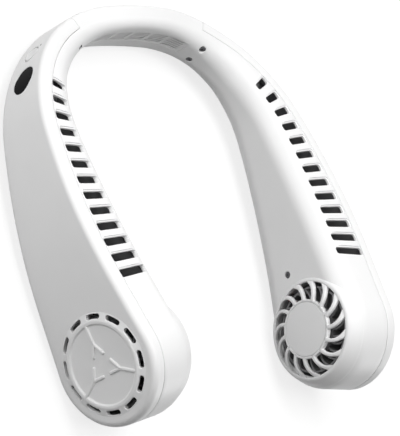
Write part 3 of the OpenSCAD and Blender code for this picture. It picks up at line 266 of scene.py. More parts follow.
class Shape:
    """Collects grids and lofts of points, and closes them into one mesh."""

    def __init__(self):
        self.points, self.faces, self.n = [], [], 0

    def add(self, points, faces):
        self.points.append(np.asarray(points, float).reshape(-1, 3))
        self.faces += [tuple(int(k) + self.n for k in f) for f in faces]
        self.n += len(self.points[-1])

    def grid(self, points, wrap=False):
        rows, cols = points.shape[:2]
        faces = []
        for r in range(rows - 1):
            low, high = r * cols, (r + 1) * cols
            for c in range(cols if wrap else cols - 1):
                d = (c + 1) % cols
                faces.append((low + c, low + d, high + d, high + c))
        self.add(points, faces)

    def fan(self, ring):
        n = len(ring)
        self.add(np.concatenate([ring, ring.mean(0, keepdims=True)]), [(k, (k + 1) % n, n) for k in range(n)])

    def loft(self, rings):
        rings = np.asarray(rings)
        self.grid(rings, wrap=True)
        self.fan(rings[0])
        self.fan(rings[-1])

    def mesh(self, name, mirror=False):
        points = np.concatenate(self.points)
        if mirror:
            points = points * np.array([-1.0, 1.0, 1.0])
        me = bpy.data.meshes.new(name)
        me.from_pydata([tuple(p) for p in points], [], self.faces)
        bm = bmesh.new()
        bm.from_mesh(me)
        bmesh.ops.remove_doubles(bm, verts=bm.verts, dist=WELD_DIST)
        bmesh.ops.dissolve_degenerate(bm, edges=bm.edges, dist=DEGENERATE_DIST)
        bmesh.ops.recalc_face_normals(bm, faces=bm.faces)
        bm.to_mesh(me)
        bm.free()
        return me


def finish_mesh(me, angle=SHARP_ANGLE):
    me.polygons.foreach_set("use_smooth", [True] * len(me.polygons))
    me.set_sharp_from_angle(angle=math.radians(angle))
    me.update()
    return me


def make(name, me, material, body, slot, *nodes):
    obj = bpy.data.objects.new(name, me)
    bpy.context.scene.collection.objects.link(obj)
    me.materials.clear()
    me.materials.append(material)
    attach(obj, body)
    if nodes:
        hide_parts(*nodes)


def carry_normals(src, dst):
    """Gives the faces that the cuts left alone the smooth normals of the uncut surface."""
    src.calc_loop_triangles()
    verts = [v.co for v in src.vertices]
    corners = [Vector(n.vector) for n in src.corner_normals]
    tris = [tuple(t.vertices) for t in src.loop_triangles]
    loops = [tuple(t.loops) for t in src.loop_triangles]
    tree = BVHTree.FromPolygons(verts, tris)
    out = [(0.0, 0.0, 0.0)] * len(dst.loops)
    for poly in dst.polygons:
        c = poly.center
        _, nrm, idx, dist = tree.find_nearest(c)
        if idx is None or dist > ON_SURFACE or nrm.dot(poly.normal) < SAME_FACE:
            continue
        for li in poly.loop_indices:
            v = dst.vertices[dst.loops[li].vertex_index].co
            loc, nrm, idx, _ = tree.find_nearest(v.lerp(c, CORNER_PULL))
            if idx is None or nrm.dot(poly.normal) < SAME_CORNER:
                continue
            w = barycentric(loc, *(verts[k] for k in tris[idx]))
            a, b, d = (corners[k] for k in loops[idx])
            n = a * w[0] + b * w[1] + d * w[2]
            if n.length > SHORT_NORMAL:
                out[li] = tuple(n.normalized())
    dst.normals_split_custom_set(out)


def barycentric(p, a, b, c):
    v0, v1, v2 = b - a, c - a, p - a
    d00, d01, d11, d20, d21 = v0.dot(v0), v0.dot(v1), v1.dot(v1), v2.dot(v0), v2.dot(v1)
    den = d00 * d11 - d01 * d01
    if abs(den) < FLAT_TRIANGLE:
        return 1.0, 0.0, 0.0
    v, w = (d11 * d20 - d01 * d21) / den, (d00 * d21 - d01 * d20) / den
    return 1 - v - w, v, w


def cut(me, cutter, name):
    """The mesh less the cutter, with the uncut surface's shading kept."""
    finish_mesh(me)
    a = bpy.data.objects.new(name + "_a", me)
    b = bpy.data.objects.new(name + "_b", cutter)
    for o in (a, b):
        bpy.context.scene.collection.objects.link(o)
    mod = a.modifiers.new("cut", "BOOLEAN")
    mod.operation, mod.solver, mod.object = "DIFFERENCE", "EXACT", b
    bpy.context.view_layer.update()
    done = bpy.data.meshes.new_from_object(a.evaluated_get(bpy.context.evaluated_depsgraph_get()))
    done.name = name
    finish_mesh(done)
    carry_normals(me, done)
    for o in (a, b):
        bpy.data.objects.remove(o)
    return done


# Shells: stations along the arm, round its tip, along the bridge and along half the band, and the angles of a
# rounded edge
STEPS_Z, TIP_STEPS, BLEND_STEPS = 14, 56, 6
ARM = np.linspace(COVER_S, FLANK_S, 130)
TIP = np.radians((90 + FLANK_ANGLE) * (1 - np.arange(1, TIP_STEPS + 1) / TIP_STEPS))
BRIDGE = np.linspace(-COVER_S, COVER_S, 61)
HALF_BAND = np.concatenate([np.linspace(0, COVER_S, 31)[:-1], ARM])
ROUND = [0, 6, 12, 19, 26, 34, 42, 50, 58, 66, 74, 82, 90]
COARSE_ROUND = [90, 45, 0]
LIP_MIDDLE_SHARE = 0.3
WALL_DEPTHS = [3.6, 4.8]
BRIDGE_INSET, BRIDGE_DEPTH = 0.02, SEAM_DEPTH + 0.4


def across(edge):
    """Rows across a flat face or end, from its upper edge to the mirrored lower one."""
    u = np.linspace(1, -1, STEPS_Z + 1)[:, None]
    s, t = (np.broadcast_to(edge[:, k], (len(u), len(edge))) for k in (0, 1))
    return np.stack([s, t, u * edge[:, 2]], -1)


def closed(rows, ends=()):
    """A shell from the rows of its upper half, with its lower half, its two faces and these ends."""
    shape = Shape()
    rows = np.array(rows)
    parts = [rows, rows * np.array([1, 1, -1]), across(rows[0]), across(rows[-1])]
    for part in parts + [across(rows[:, k]) for k in ends]:
        shape.grid(at(part[..., 0], part[..., 1], part[..., 2]))
    return shape


def lip_levels(face, depth, side):
    """Three levels that round a lip which ends at this depth."""
    middle = LIP_MIDDLE_SHARE * LIP
    return [level(face, 0, 0, depth - side * LIP, 0.0), level(face, 0, 0, depth - side * middle, middle),
            level(face, 0, 0, depth, LIP)]


def tray_shape():
    """The inner shell of both arms and the neck, open on its outer side."""
    levels = [level(-1, 0, a) for a in ROUND]
    seam = lip_levels(1, SEAM_DEPTH, -1)
    inner = [level(1, WALL, 0, SEAM_DEPTH)] + [level(-1, WALL, a) for a in (90, 67, 45, 22, 0)]
    first, last = outline(HALF_BAND, levels[-1]), outline(HALF_BAND, seam[0])
    rows = [outline(HALF_BAND, lv) for lv in levels]
    rows += [first + (last - first) * k / BLEND_STEPS for k in range(1, BLEND_STEPS)]
    rows += [outline(HALF_BAND, lv) for lv in seam + inner]
    return closed([np.concatenate([up[:0:-1] * np.array([-1, 1, 1]), up]) for up in rows])


def lid_shift(lv):
    """How far a level of a lid draws back from its end, so that the end is rounded too."""
    depth = lv.depth
    if depth is None:
        depth = lv.inset + (OUTER_EDGE_R - lv.inset) * (1 - math.cos(lv.angle))
    e = max(0.0, LIP - (depth - lv.inset))
    return lv.inset + LIP - math.sqrt(max(0.0, LIP * LIP - e * e))


def cover_shape():
    stations = ARM.copy()
    stations[0] = COVER_S + SEAM_GAP
    foot = SEAM_DEPTH - SEAM_GAP
    levels = [level(1, 0, a) for a in ROUND] + [level(1, 0, 0, d) for d in WALL_DEPTHS]
    levels += lip_levels(1, foot, 1)
    levels += [level(1, WALL, 0, foot)] + [level(1, WALL, a) for a in COARSE_ROUND]
    return closed([outline(stations, lv, lid_shift(lv)) for lv in levels], ends=(0,))


def bridge_shape():
    levels = [level(1, BRIDGE_INSET, a) for a in ROUND]
    levels += [level(1, BRIDGE_INSET, 0, d) for d in WALL_DEPTHS + [6.0, BRIDGE_DEPTH]]
    levels += [level(1, WALL, 0, BRIDGE_DEPTH)] + [level(1, WALL, a) for a in COARSE_ROUND]
    rows = []
    for lv in levels:
        a = BRIDGE.copy()
        a[0] += lid_shift(lv)
        a[-1] -= lid_shift(lv)
        s, z = edge_row(a, lv)
        rows.append(np.stack([s, level_t(np.abs(s), lv), z], -1))
    return closed(rows, ends=(0, -1))


# Outlines in plan
def rounded_rect(w, l, r, per_corner=6):
    points = []
    for cx, cy, start in ((1, 1, 0), (-1, 1, 90), (-1, -1, 180), (1, -1, 270)):
        for k in range(per_corner + 1):
            a = math.radians(start + 90 * k / per_corner)
            points.append((cx * (w / 2 - r) + r * math.cos(a), cy * (l / 2 - r) + r * math.sin(a)))
    return np.array(points)


def stadium(l, w, n=14):
    points = []
    for side, start in ((1, -90), (-1, 90)):
        for k in range(n + 1):
            a = math.radians(start + 180 * k / n)
            points.append((side * (l - w) / 2 + w / 2 * math.cos(a), w / 2 * math.sin(a)))
    return np.array(points)


def circle(r, n=48):
    a = np.linspace(0, 2 * np.pi, n, endpoint=False)
    return np.stack([r * np.cos(a), r * np.sin(a)], -1)


def turned(p, degrees):
    c, s = math.cos(math.radians(degrees)), math.sin(math.radians(degrees))
    return np.stack([p[:, 0] * c - p[:, 1] * s, p[:, 0] * s + p[:, 1] * c], -1)


def arc_slot(r, w, angle, grow=0.0, n=10, end_steps=8):
    """A slot bent round the origin, with round ends."""
    half = math.radians(angle / 2) - (w / 2) / r
    points = []
    for side, start in ((1, 0), (-1, 180)):
        for k in range(n + 1):
            a = side * (-half + 2 * half * k / n)
            arc_r = r + side * w / 2 + side * grow
            points.append((arc_r * math.cos(a), arc_r * math.sin(a)))
        end = side * half
        for k in range(1, end_steps):
            a = end + math.radians(start + 180 * k / end_steps)
            points.append((r * math.cos(end) + (w / 2 + grow) * math.cos(a),
                           r * math.sin(end) + (w / 2 + grow) * math.sin(a)))
    return np.array(points)


# Cutters
# Each opening's table of rings runs from above the surface down, so that the opening's edge is rounded
def outlet_s(i):
    back = OUTLETS - 1 - i
    return OUTLET_LAST_S - back * OUTLET_PITCH - OUTLET_SPREAD * (back / (OUTLETS - 1)) ** 3


# growth, corner radius, depth and slope of the end on the neck's side
OUTLET_RINGS = ((LIP_W + 0.35, 1.9, 0.4, 0.7), (LIP_W + 0.16, 1.8, 0.02, 0.55),
                (LIP_W + 0.05, 1.7, -0.05, 0.5), (LIP_W, 1.65, -0.16, 0.5),
                (LIP_W - 0.06, 1.6, -LIP_DEPTH + 0.06, 0.4), (LIP_W - 0.18, 1.5, -LIP_DEPTH, 0.45),
                (0.14, 1.1, -LIP_DEPTH - 0.01, 0.8), (0.03, 1.0, -LIP_DEPTH - 0.07, 0.85),
                (0.0, 1.0, -LIP_DEPTH - 0.18, 0.8), (0.0, 1.0, -1.9, 0), (0.0, 1.0, -2 * WALL, 0))


def outlet_cutters(shape):
    for i in range(OUTLETS):
        s0, l = outlet_s(i), OUTLET_FIRST + (OUTLET_LAST - OUTLET_FIRST) * i / (OUTLETS - 1)
        rings = []
        for grow, r, d, ramp in OUTLET_RINGS:
            p = rounded_rect(OUTLET_W + 2 * grow, l + 2 * grow, r)
            p[:, 1] -= np.where(p[:, 1] < 0, ramp, 0)
            s = s0 + p[:, 0]
            rings.append(at(s, p[:, 1], half_h(s) + d))
        shape.loft(rings)


def drop_of(s, z):
    """Depth of the inner face's surface below its flat at height z."""
    r = edge_r(s, -1)
    dz = np.minimum(r, np.maximum(0, np.abs(z) - half_h(s) + r))
    return r - np.sqrt(r * r - dz * dz)


# radius and depth, with the well's floor level and the screw's way below it
WELL_RINGS = ((WELL_R + 0.4, 0.4), (WELL_R + 0.16, 0.02), (WELL_R + 0.04, -0.06), (WELL_R, -0.18),
              (WELL_R, -WELL_DEPTH), (SCREW_R + 0.1, -WELL_DEPTH - 0.001), (SCREW_R + 0.1, -6.0))


def well_cutters(shape):
    for s0, z0 in NECK_SCREWS + [POD_SCREW]:
        floor_drop = drop_of(np.array([s0]), np.array([z0]))[0]
        rings = []
        for r, d in WELL_RINGS:
            p = circle(r, 32)
            s, z = s0 + p[:, 0], z0 + p[:, 1]
            base = np.full(len(s), floor_drop) if d <= -WELL_DEPTH else drop_of(s, z)
            rings.append(at(s, -width(s) / 2 + base - d, z))
        shape.loft(rings)


def grille_cutter(shape):
    rings = []
    for z in (-POD_W / 2 - RIM_H - 1.5, -POD_W / 2 + 2 * WALL):
        p = turned(circle(GRILLE_R + HOLE_OVER, 96), HOLE_TURN)
        rings.append(at_pod(p[:, 0], p[:, 1], z))
    shape.loft(rings)


def slab(shape, s_half, z_half, layers, cols=72, rows=10):
    """A curved plate or cutter in the neck band's inner face: each layer has its growth and its height."""
    u, v = np.meshgrid(np.linspace(-1, 1, cols + 1), np.linspace(-1, 1, rows + 1))
    sheets = []
    for grow, d in layers:
        s = u * (s_half + grow)
        sheets.append(at(s, -width(np.abs(s)) / 2 - d, PANEL_Z + v * (z_half + grow)))
    for sheet in (sheets[0], sheets[-1]):
        shape.grid(sheet)
    loops = [np.concatenate([k[0, :-1], k[:-1, -1], k[-1, :0:-1], k[:0:-1, 0]]) for k in sheets]
    shape.grid(np.array(loops), wrap=True)


# growth and depth
PANEL_RINGS = ((0.3, 0.4), (0.12, 0.02), (0.02, -0.07), (0, -0.2), (0, -PANEL_SINK - PANEL_T - SEAT_GAP))
PORT_RINGS = ((0.5, 0.4), (0.22, 0.02), (0.1, -0.06), (0.06, -0.2), (0.06, -2 * WALL))
CONTROL_RINGS = ((0.4, 0.4), (0.14, 0.02), (0.04, -0.05), (0.0, -0.14), (0.0, -WALL - 1.0))
PIN_RINGS = ((0.2, 0.3), (0.06, 0.01), (0.02, -0.04), (0.0, -0.1), (0.0, -WALL - 1.0))
# growth, depth and the share of the slope's height that the ring follows
INTAKE_RINGS = ((0.4, 0.4, 1), (0.18, 0.02, 1), (0.05, -0.07, 1), (0.0, -0.2, 1), (0.0, -WALL - 0.5, 0))


def panel_cutter(shape):
    slab(shape, PANEL_S + SEAT_GAP, PANEL_HALF + SEAT_GAP, PANEL_RINGS)
    slab(shape, PANEL_S - LEDGE_W, PANEL_HALF - LEDGE_W, ((0, -0.8), (0, -2 * WALL)))


def port_cutter(shape):
    rings = []
    for grow, d in PORT_RINGS:
        p = stadium(PORT_W + 2 * grow, PORT_H + 2 * grow)
        s = -(PORT_S + p[:, 0])
        rings.append(at(s, PORT_T + p[:, 1], -half_h(np.abs(s)) - d))
    shape.loft(rings)


def slope_h(r):
    return SLOPE_H * np.clip((SLOPE_R - r) / (SLOPE_R - SLOPE_TOP_R), 0, 1)


def intake_cutters(shape):
    for i in range(RING_SLOTS):
        rings = []
        for grow, d, share in INTAKE_RINGS:
            p = turned(arc_slot(RING_R, RING_SLOT_W, RING_SLOT_ANGLE, grow), 360 * (i + 0.5) / RING_SLOTS)
            r = np.hypot(p[:, 0], p[:, 1])
            h = share * slope_h(r)
            # undercut on the disc's side
            p = p * (1 - np.where(r < RING_R, (1 - share) * UNDERCUT, 0) / r)[:, None]
            rings.append(at_pod(p[:, 0], p[:, 1], POD_W / 2 + h + d))
        shape.loft(rings)


def plan_rings(plan, s0, z0, depths, sign=1):
    """Rings of a plan outline laid on the outer face, each grown by its own amount at its depth."""
    rings = []
    for grow, d in depths:
        p = plan(grow)
        s, z = s0 + p[:, 0], z0 - p[:, 1]
        rings.append(at(sign * s, width(s) / 2 + d, z))
    return rings


def window_plan(grow):
    return turned(stadium(WINDOW_L + 2 * grow, WINDOW_W + 2 * grow, 24), WINDOW_TILT)


def control_cutters(shape):
    button = lambda grow: circle(BUTTON_R + FIT_GAP + grow)
    window = lambda grow: window_plan(WINDOW_GAP + grow)
    light = lambda grow: circle(LIGHT_R + SEAT_GAP + grow, 24)
    shape.loft(plan_rings(button, BUTTON_S, BUTTON_Z, CONTROL_RINGS))
    shape.loft(plan_rings(window, WINDOW_S, WINDOW_Z, CONTROL_RINGS))
    shape.loft(plan_rings(light, LIGHT_S, LIGHT_Z, PIN_RINGS))


# Turned pieces and ribs on a pod's axis
def revolve(profile, n=96):
    """Rings of a profile given as radius and height along the axis."""
    a = np.linspace(0, 2 * np.pi, n, endpoint=False)
    return [at_pod(r * np.cos(a), r * np.sin(a), np.full(n, z)) for r, z in profile]


def round_profile(points, radius, steps=4):
    """Rounds every inner corner of an open profile by a small radius."""
    out = [points[0]]
    for k in range(1, len(points) - 1):
        a, b, c = (np.array(points[j], float) for j in (k - 1, k, k + 1))
        u, v = a - b, c - b
        r = min(radius, 0.45 * np.linalg.norm(u), 0.45 * np.linalg.norm(v))
        p, q = b + u / np.linalg.norm(u) * r, b + v / np.linalg.norm(v) * r
        for j in range(steps + 1):
            w = j / steps
            out.append(tuple((1 - w) ** 2 * p + 2 * w * (1 - w) * b + w * w * q))
    out.append(points[-1])
    return out


def disc_shape():
    shape = Shape()
    f = POD_W / 2
    floor_z = f + DISC_H - FLOOR_SINK
    profile = round_profile([(AXIS_R, floor_z), (DISC_R - DISC_RIM - 0.1, floor_z),
                             (DISC_R - DISC_RIM + 0.45, f + DISC_H), (DISC_R - 0.25, f + DISC_H),
                             (SLOPE_TOP_R + 0.35, f + SLOPE_H), (SLOPE_R, f + 0.03), (SLOPE_R + 0.3, f - 0.1),
                             (AXIS_R, f - 0.1)], 0.4, 5)
    shape.loft(revolve(profile))
    return shape


# growth and height above the pod's face
MARK_RINGS = ((0.28, DISC_H - FLOOR_SINK - 0.1), (0.25, DISC_H - FLOOR_SINK + 0.01),
              (0.14, DISC_H - FLOOR_SINK + 0.07), (0.08, DISC_H - FLOOR_SINK + 0.22),
              (0.0, DISC_H - 0.15), (-0.13, DISC_H - 0.04), (-0.34, DISC_H))


def fork_shape():
    shape = Shape()
    f = POD_W / 2
    root = (-FORK_R, 0.0)
    angle = math.radians(FORK_ANGLE)
    end_x, end_y = FORK_END_R * math.cos(angle), FORK_END_R * math.sin(angle)
    arms = [((-DISC_R + DISC_RIM / 2, 0.0), root), (root, (-end_x, -end_y)), (root, (-end_x, end_y))]
    for i in range(3):
        for a, b in arms:
            a, b = np.array(a), np.array(b)
            l = np.linalg.norm(b - a)
            # the two free ends stop short
            if b[1]:
                b, l = b - (b - a) * FORK_TRIM / l, l - FORK_TRIM
            rings = []
            for grow, h in MARK_RINGS:
                p = stadium(l + MARK_W + 2 * grow, MARK_W + 2 * grow, 10)
                p = turned(p + np.array([l / 2, 0]), math.degrees(math.atan2(b[1] - a[1], b[0] - a[0]))) + a
                p = turned(p, 120 * i)
                rings.append(at_pod(p[:, 0], p[:, 1], f + h))
            shape.loft(rings)
    return shape


BULGE = HUB_H - RIM_TOP
DOME_R = ((GRILLE_R - HUB_R) ** 2 + BULGE ** 2) / (2 * BULGE)


def dome_h(r):
    """Height of the domed grille above the pod's face at a radius."""
    return HUB_H - DOME_R + math.sqrt(max(0.0, DOME_R ** 2 - max(0.0, r - HUB_R) ** 2))


def rib_points(steps=24):
    """Centreline of a rib in plan, from the hub out to the rim."""
    r0 = HUB_R - RIB_W / 2
    points = []
    for k in range(steps + 1):
        a = math.radians(90 * k / steps)
        x, y = r0 + RIB_BEND * math.sin(a), -RIB_BEND + RIB_BEND * math.cos(a)
        points.append((x, y))
        if math.hypot(x, y) > GRILLE_R + RIB_OVER:
            break
    return points


# A rib's section: shares of its width and of its thickness
RIB_SECTION = ((-0.50, -1.0), (-0.50, -0.34), (-0.45, -0.13), (-0.33, -0.03), (-0.15, 0.0), (0.15, 0.0),
               (0.33, -0.03), (0.45, -0.13), (0.50, -0.34), (0.50, -1.0))


def rib_flare(r):
    """How much wider a rib is near the rim and near the hub."""
    at_rim = smooth((r - GRILLE_R + RIM_FLARE_FROM) / RIM_FLARE_RUN)
    at_hub = 1 - smooth((r - HUB_R + HUB_FLARE_FROM) / HUB_FLARE_RUN)
    return float(1 + RIM_FLARE * at_rim + HUB_FLARE * at_hub)


def rib_shape():
    shape = Shape()
    f = -POD_W / 2
    centre = np.array(rib_points())
    for i in range(GRILLE_RIBS):
        rings = []
        for k, c in enumerate(centre):
            a, b = centre[max(0, k - 1)], centre[min(len(centre) - 1, k + 1)]
            d = (b - a) / np.linalg.norm(b - a)
            n = np.array([-d[1], d[0]])
            flare = rib_flare(math.hypot(c[0], c[1]))
            ring = []
            for u, v in RIB_SECTION:
                p = c + n * u * RIB_W * flare
                ring.append((p[0], p[1], dome_h(math.hypot(p[0], p[1])) + v * DOME_T))
            ring = np.array(ring)
            q = turned(ring[:, :2], 360 * i / GRILLE_RIBS)
            rings.append(at_pod(q[:, 0], q[:, 1], f - ring[:, 2]))
        shape.loft(rings)
    return shape


def rim_shape(steps=14):
    """The grille's raised rim, flowing into the pod's rounding, and its hub with a seat for the cap."""
    shape = Shape()
    f = -POD_W / 2
    foot = float(edge_r(np.array([POD_S]), -1)[0])
    over = RIM_FOOT_R - POD_R + foot
    level_part = math.sqrt(foot * foot - over * over)
    depth, slope = foot - level_part, over / level_part
    start, start_h = GRILLE_R + 1.2, RIM_TOP - 0.2
    run = RIM_FOOT_R - start
    rim = [(GRILLE_R, -WALL), (GRILLE_R, RIM_TOP - 0.45), (GRILLE_R + 0.12, RIM_TOP - 0.14),
           (GRILLE_R + 0.4, RIM_TOP - 0.02), (GRILLE_R + 0.8, RIM_TOP - 0.03), (start, start_h)]
    for k in range(1, steps + 1):
        u = k / steps
        h = hermite(u, start_h, -depth - FOOT_SINK, -0.25 * run, -slope * run)
        rim.append((start + run * u, float(h)))
    rim += [(RIM_FOOT_R, -depth - 0.6), (GRILLE_R + 0.9, -depth - 0.6), (GRILLE_R + 0.9, -WALL)]
    hub = [(CAP_R + 0.14, HUB_H - CAP_T), (CAP_R + 0.14, HUB_H - 0.16), (CAP_R + 0.2, HUB_H - 0.04),
           (CAP_R + 0.34, HUB_H), (HUB_R - 0.25, HUB_H), (HUB_R - 0.05, HUB_H - 0.07),
           (HUB_R + 0.05, HUB_H - 0.28), (HUB_R + 0.05, HUB_H - HUB_T), (CAP_R - 0.6, HUB_H - HUB_T),
           (CAP_R - 0.6, HUB_H - CAP_T)]
    for profile in (rim, hub):
        rings = revolve([(r, f - z) for r, z in profile], 128)
        shape.grid(np.array(rings + [rings[0]]), wrap=True)
    seat_r, seat_h = CAP_R - 0.3, HUB_H - CAP_T - SEAT_GAP
    seat = [(AXIS_R, HUB_H - HUB_T), (seat_r, HUB_H - HUB_T), (seat_r, seat_h), (AXIS_R, seat_h)]
    shape.loft(revolve([(r, f - z) for r, z in seat]))
    return shape


def cap_shape():
    shape = Shape()
    f = -POD_W / 2 - HUB_H
    profile = round_profile([(AXIS_R, f), (CAP_R, f), (CAP_R, f + CAP_T), (AXIS_R, f + CAP_T)], 0.22, 5)
    shape.loft(revolve(profile, 128))
    return shape


# growth and height, with a fine rounded edge
PANEL_LAYERS = ((-0.12, -PANEL_SINK), (-0.03, -PANEL_SINK - 0.05), (0, -PANEL_SINK - 0.16),
                (0, -PANEL_SINK - PANEL_T))


def panel_shape():
    shape = Shape()
    slab(shape, PANEL_S, PANEL_HALF, PANEL_LAYERS, rows=30)
    return shape


# growth, depth, drop of the slot and run-out of its lower edge: the slots slope down inwards
LOUVRE_RINGS = ((0.05, 0.3, 0.0, 0.3), (0.03, -PANEL_SINK + 0.01, 0.0, 0.17),
                (0.0, -PANEL_SINK - 0.13, 0.0, 0.0), (0.0, -PANEL_SINK - 0.17, 0.08, 0.0),
                (0.0, -PANEL_SINK - 0.45, 0.8, 0.0), (0.0, -PANEL_SINK - PANEL_T - 0.3, 0.82, 0.0))


def louvre_plan(l, h, ends=6, middle=7):
    """A stadium with points along its straight sides too, so that it bends with the band."""
    p = stadium(l, h, ends)
    x = np.linspace(-1, 1, middle + 2)[1:-1] * (l - h) / 2
    top, bottom = np.stack([x[::-1], np.full(middle, h / 2)], -1), np.stack([x, np.full(middle, -h / 2)], -1)
    return np.concatenate([p[:ends + 1], top, p[ends + 1:], bottom])


def louvre_cutters(shape):
    pitch_s = 2 * (PANEL_S - LEDGE_W) / LOUVRE_COLS
    pitch_z = 2 * (PANEL_HALF - LEDGE_W / 2) / LOUVRE_ROWS
    for c in range(LOUVRE_COLS):
        for r in range(LOUVRE_ROWS):
            s0, z0 = (c + 0.5 - LOUVRE_COLS / 2) * pitch_s, PANEL_Z + (r + 0.5 - LOUVRE_ROWS / 2) * pitch_z
            rings = []
            for grow, d, drop, run in LOUVRE_RINGS:
                h = LOUVRE_H + 2 * grow
                p = louvre_plan(pitch_s - LOUVRE_BAR + 2 * grow, h)
                p[:, 1] -= drop + run * np.clip(-2 * p[:, 1] / h, 0, 1)
                s = s0 + p[:, 0]
                rings.append(at(s, -width(np.abs(s)) / 2 - d, z0 + p[:, 1]))
            shape.loft(rings)


# radius and height against the cover, from the middle of the dished cap to the end of the plunger
BUTTON_PROFILE = ((0.02, -0.22), (0.6, -0.215), (1.3, -0.18), (2.0, -0.12), (2.6, -0.055), (3.0, -0.02),
                  (3.25, -0.005), (3.45, -0.02), (3.6, -0.1), (3.68, -0.22), (BUTTON_R, -0.4),
                  (BUTTON_R, -BUTTON_T), (BUTTON_R + 0.6, -BUTTON_T), (BUTTON_R + 0.6, -BUTTON_T - 0.5),
                  (1.2, -BUTTON_T - 0.5), (1.2, -BUTTON_T - 0.75))


def on_cover(s, z):
    """A point of the left cover's face."""
    s = np.array([s])
    return at(-s, width(s) / 2, z)[0]


def button_shape():
    """The button with its flange and plunger, flat across, in the plane that touches the cover there."""
    shape = Shape()
    mid = on_cover(BUTTON_S, BUTTON_Z)
    e1, e2 = on_cover(BUTTON_S + SEAT_GAP, BUTTON_Z) - mid, on_cover(BUTTON_S, BUTTON_Z + SEAT_GAP) - mid
    e1, e2 = e1 / np.linalg.norm(e1), e2 / np.linalg.norm(e2)
    n = np.cross(e2, e1)
    if n[1] < 0:
        n = -n
    rings = []
    for r, d in BUTTON_PROFILE:
        p = circle(r, 64)
        rings.append(mid + (p[:, :1] * e1 + p[:, 1:] * e2 + d * n) * MM)
    shape.loft(rings)
    return shape


def window_shape():
    """The display window: a low lens with a fine rounded edge, set just below the cover's face."""
    shape = Shape()
    top = -WINDOW_SINK
    rings = []
    for k in (0.02, 0.2, 0.4, 0.6, 0.8, 0.92):
        small = turned(stadium(WINDOW_L * k + 0.02, WINDOW_W * k + 0.01, 24), WINDOW_TILT)
        rings += plan_rings(lambda grow: small, WINDOW_S, WINDOW_Z, ((0.0, top),), -1)
    edge = ((-0.14, top), (-0.05, top - 0.04), (0.0, top - 0.14), (0.0, top - WINDOW_T + 0.1))
    shape.loft(rings + plan_rings(window_plan, WINDOW_S, WINDOW_Z, edge, -1))
    return shape


# Materials
def node(tree, kind, sockets=(), **settings):
    """A new shader node with its settings and the values of its sockets."""
    n = tree.nodes.new("ShaderNode" + kind)
    for key, value in settings.items():
        setattr(n, key, value)
    for key, value in dict(sockets).items():
        n.inputs[key].default_value = value
    return n


def empty_tree(owner):
    owner.use_nodes = True
    owner.node_tree.nodes.clear()
    return owner.node_tree


def shader(name, base, rough, coat=0.0, metallic=0.0, ior=1.5, grain=900.0, relief=2e-5, tint=0.03,
           rough_vary=0.06, smudge=60.0):
    """A procedural plastic or metal: mottled colour, uneven gloss and a fine grain, its relief in metres."""
    m = bpy.data.materials.new(name)
    nt = empty_tree(m)
    link = nt.links.new
    out = node(nt, "OutputMaterial")
    bsdf = node(nt, "BsdfPrincipled", {"Metallic": metallic, "IOR": ior, "Coat Weight": coat,
                                       "Coat Roughness": 0.08})
    link(bsdf.outputs[0], out.inputs[0])
    coord = node(nt, "TexCoord")
    big = node(nt, "TexNoise", {"Scale": smudge, "Detail": 5.0})
    fine = node(nt, "TexNoise", {"Scale": grain, "Detail": 4.0})
    for noise in (big, fine):
        link(coord.outputs["Object"], noise.inputs["Vector"])
    # colour
    mottle = node(nt, "Mix", data_type="RGBA")
    mottle.inputs["A"].default_value = (*(c * (1 - tint) for c in base), 1.0)
    mottle.inputs["B"].default_value = (*base, 1.0)
    spread = node(nt, "MapRange", {"From Min": 0.35, "From Max": 0.65})
    link(big.outputs["Fac"], spread.inputs["Value"])
    link(spread.outputs["Result"], mottle.inputs["Factor"])
    link(mottle.outputs["Result"], bsdf.inputs["Base Color"])
    # gloss, from both noises
    scaled = node(nt, "Math", {1: 0.6}, operation="MULTIPLY")
    mixed = node(nt, "Math", {1: 0.4}, operation="MULTIPLY_ADD")
    gloss = node(nt, "MapRange", {"From Min": 0.3, "From Max": 0.7, "To Min": max(0.02, rough - rough_vary),
                                  "To Max": rough + rough_vary})
    link(big.outputs["Fac"], scaled.inputs[0])
    link(fine.outputs["Fac"], mixed.inputs[0])
    link(scaled.outputs[0], mixed.inputs[2])
    link(mixed.outputs[0], gloss.inputs["Value"])
    link(gloss.outputs["Result"], bsdf.inputs["Roughness"])
    # grain
    bump = node(nt, "Bump", {"Strength": 0.6, "Distance": relief})
    link(fine.outputs["Fac"], bump.inputs["Height"])
    link(bump.outputs["Normal"], bsdf.inputs["Normal"])
    return m


white = shader("white_plastic", (0.80, 0.80, 0.80), 0.36, ior=1.3, grain=260, relief=6e-6, tint=0.012,
               rough_vary=0.04)
button_white = shader("button_plastic", (0.79, 0.79, 0.79), 0.4, ior=1.4, grain=1400, relief=1e-5, tint=0.02)
glass = shader("window_gloss", (0.004, 0.004, 0.005), 0.08, ior=1.08, grain=300, relief=2e-6, tint=0.2,
               rough_vary=0.02)
zinc = shader("black_zinc", (0.10, 0.10, 0.105), 0.4, metallic=1.0, grain=2600, relief=1e-5, tint=0.2)
dark = shader("moulded_dark", (0.23, 0.23, 0.235), 0.5, grain=2200, relief=3e-5, tint=0.2)
pipe_clear = shader("light_pipe", (0.35, 0.36, 0.36), 0.2, coat=0.5, grain=2000, relief=1e-5, tint=0.1)
board = shader("board_mask", (0.015, 0.11, 0.045), 0.35, coat=0.4, grain=3000, relief=3e-5, tint=0.25)
steel = shader("plated_steel", (0.56, 0.56, 0.57), 0.3, metallic=1.0, grain=2600, relief=1e-5, tint=0.12)
foil = shader("cell_foil", (0.55, 0.56, 0.58), 0.36, metallic=1.0, grain=500, relief=6e-5, tint=0.1)
red = shader("lead_sleeve", (0.42, 0.02, 0.02), 0.5, grain=1800, relief=3e-5, tint=0.2)
brass = shader("turned_brass", (0.72, 0.5, 0.22), 0.28, metallic=1.0, grain=2600, relief=1e-5, tint=0.12)
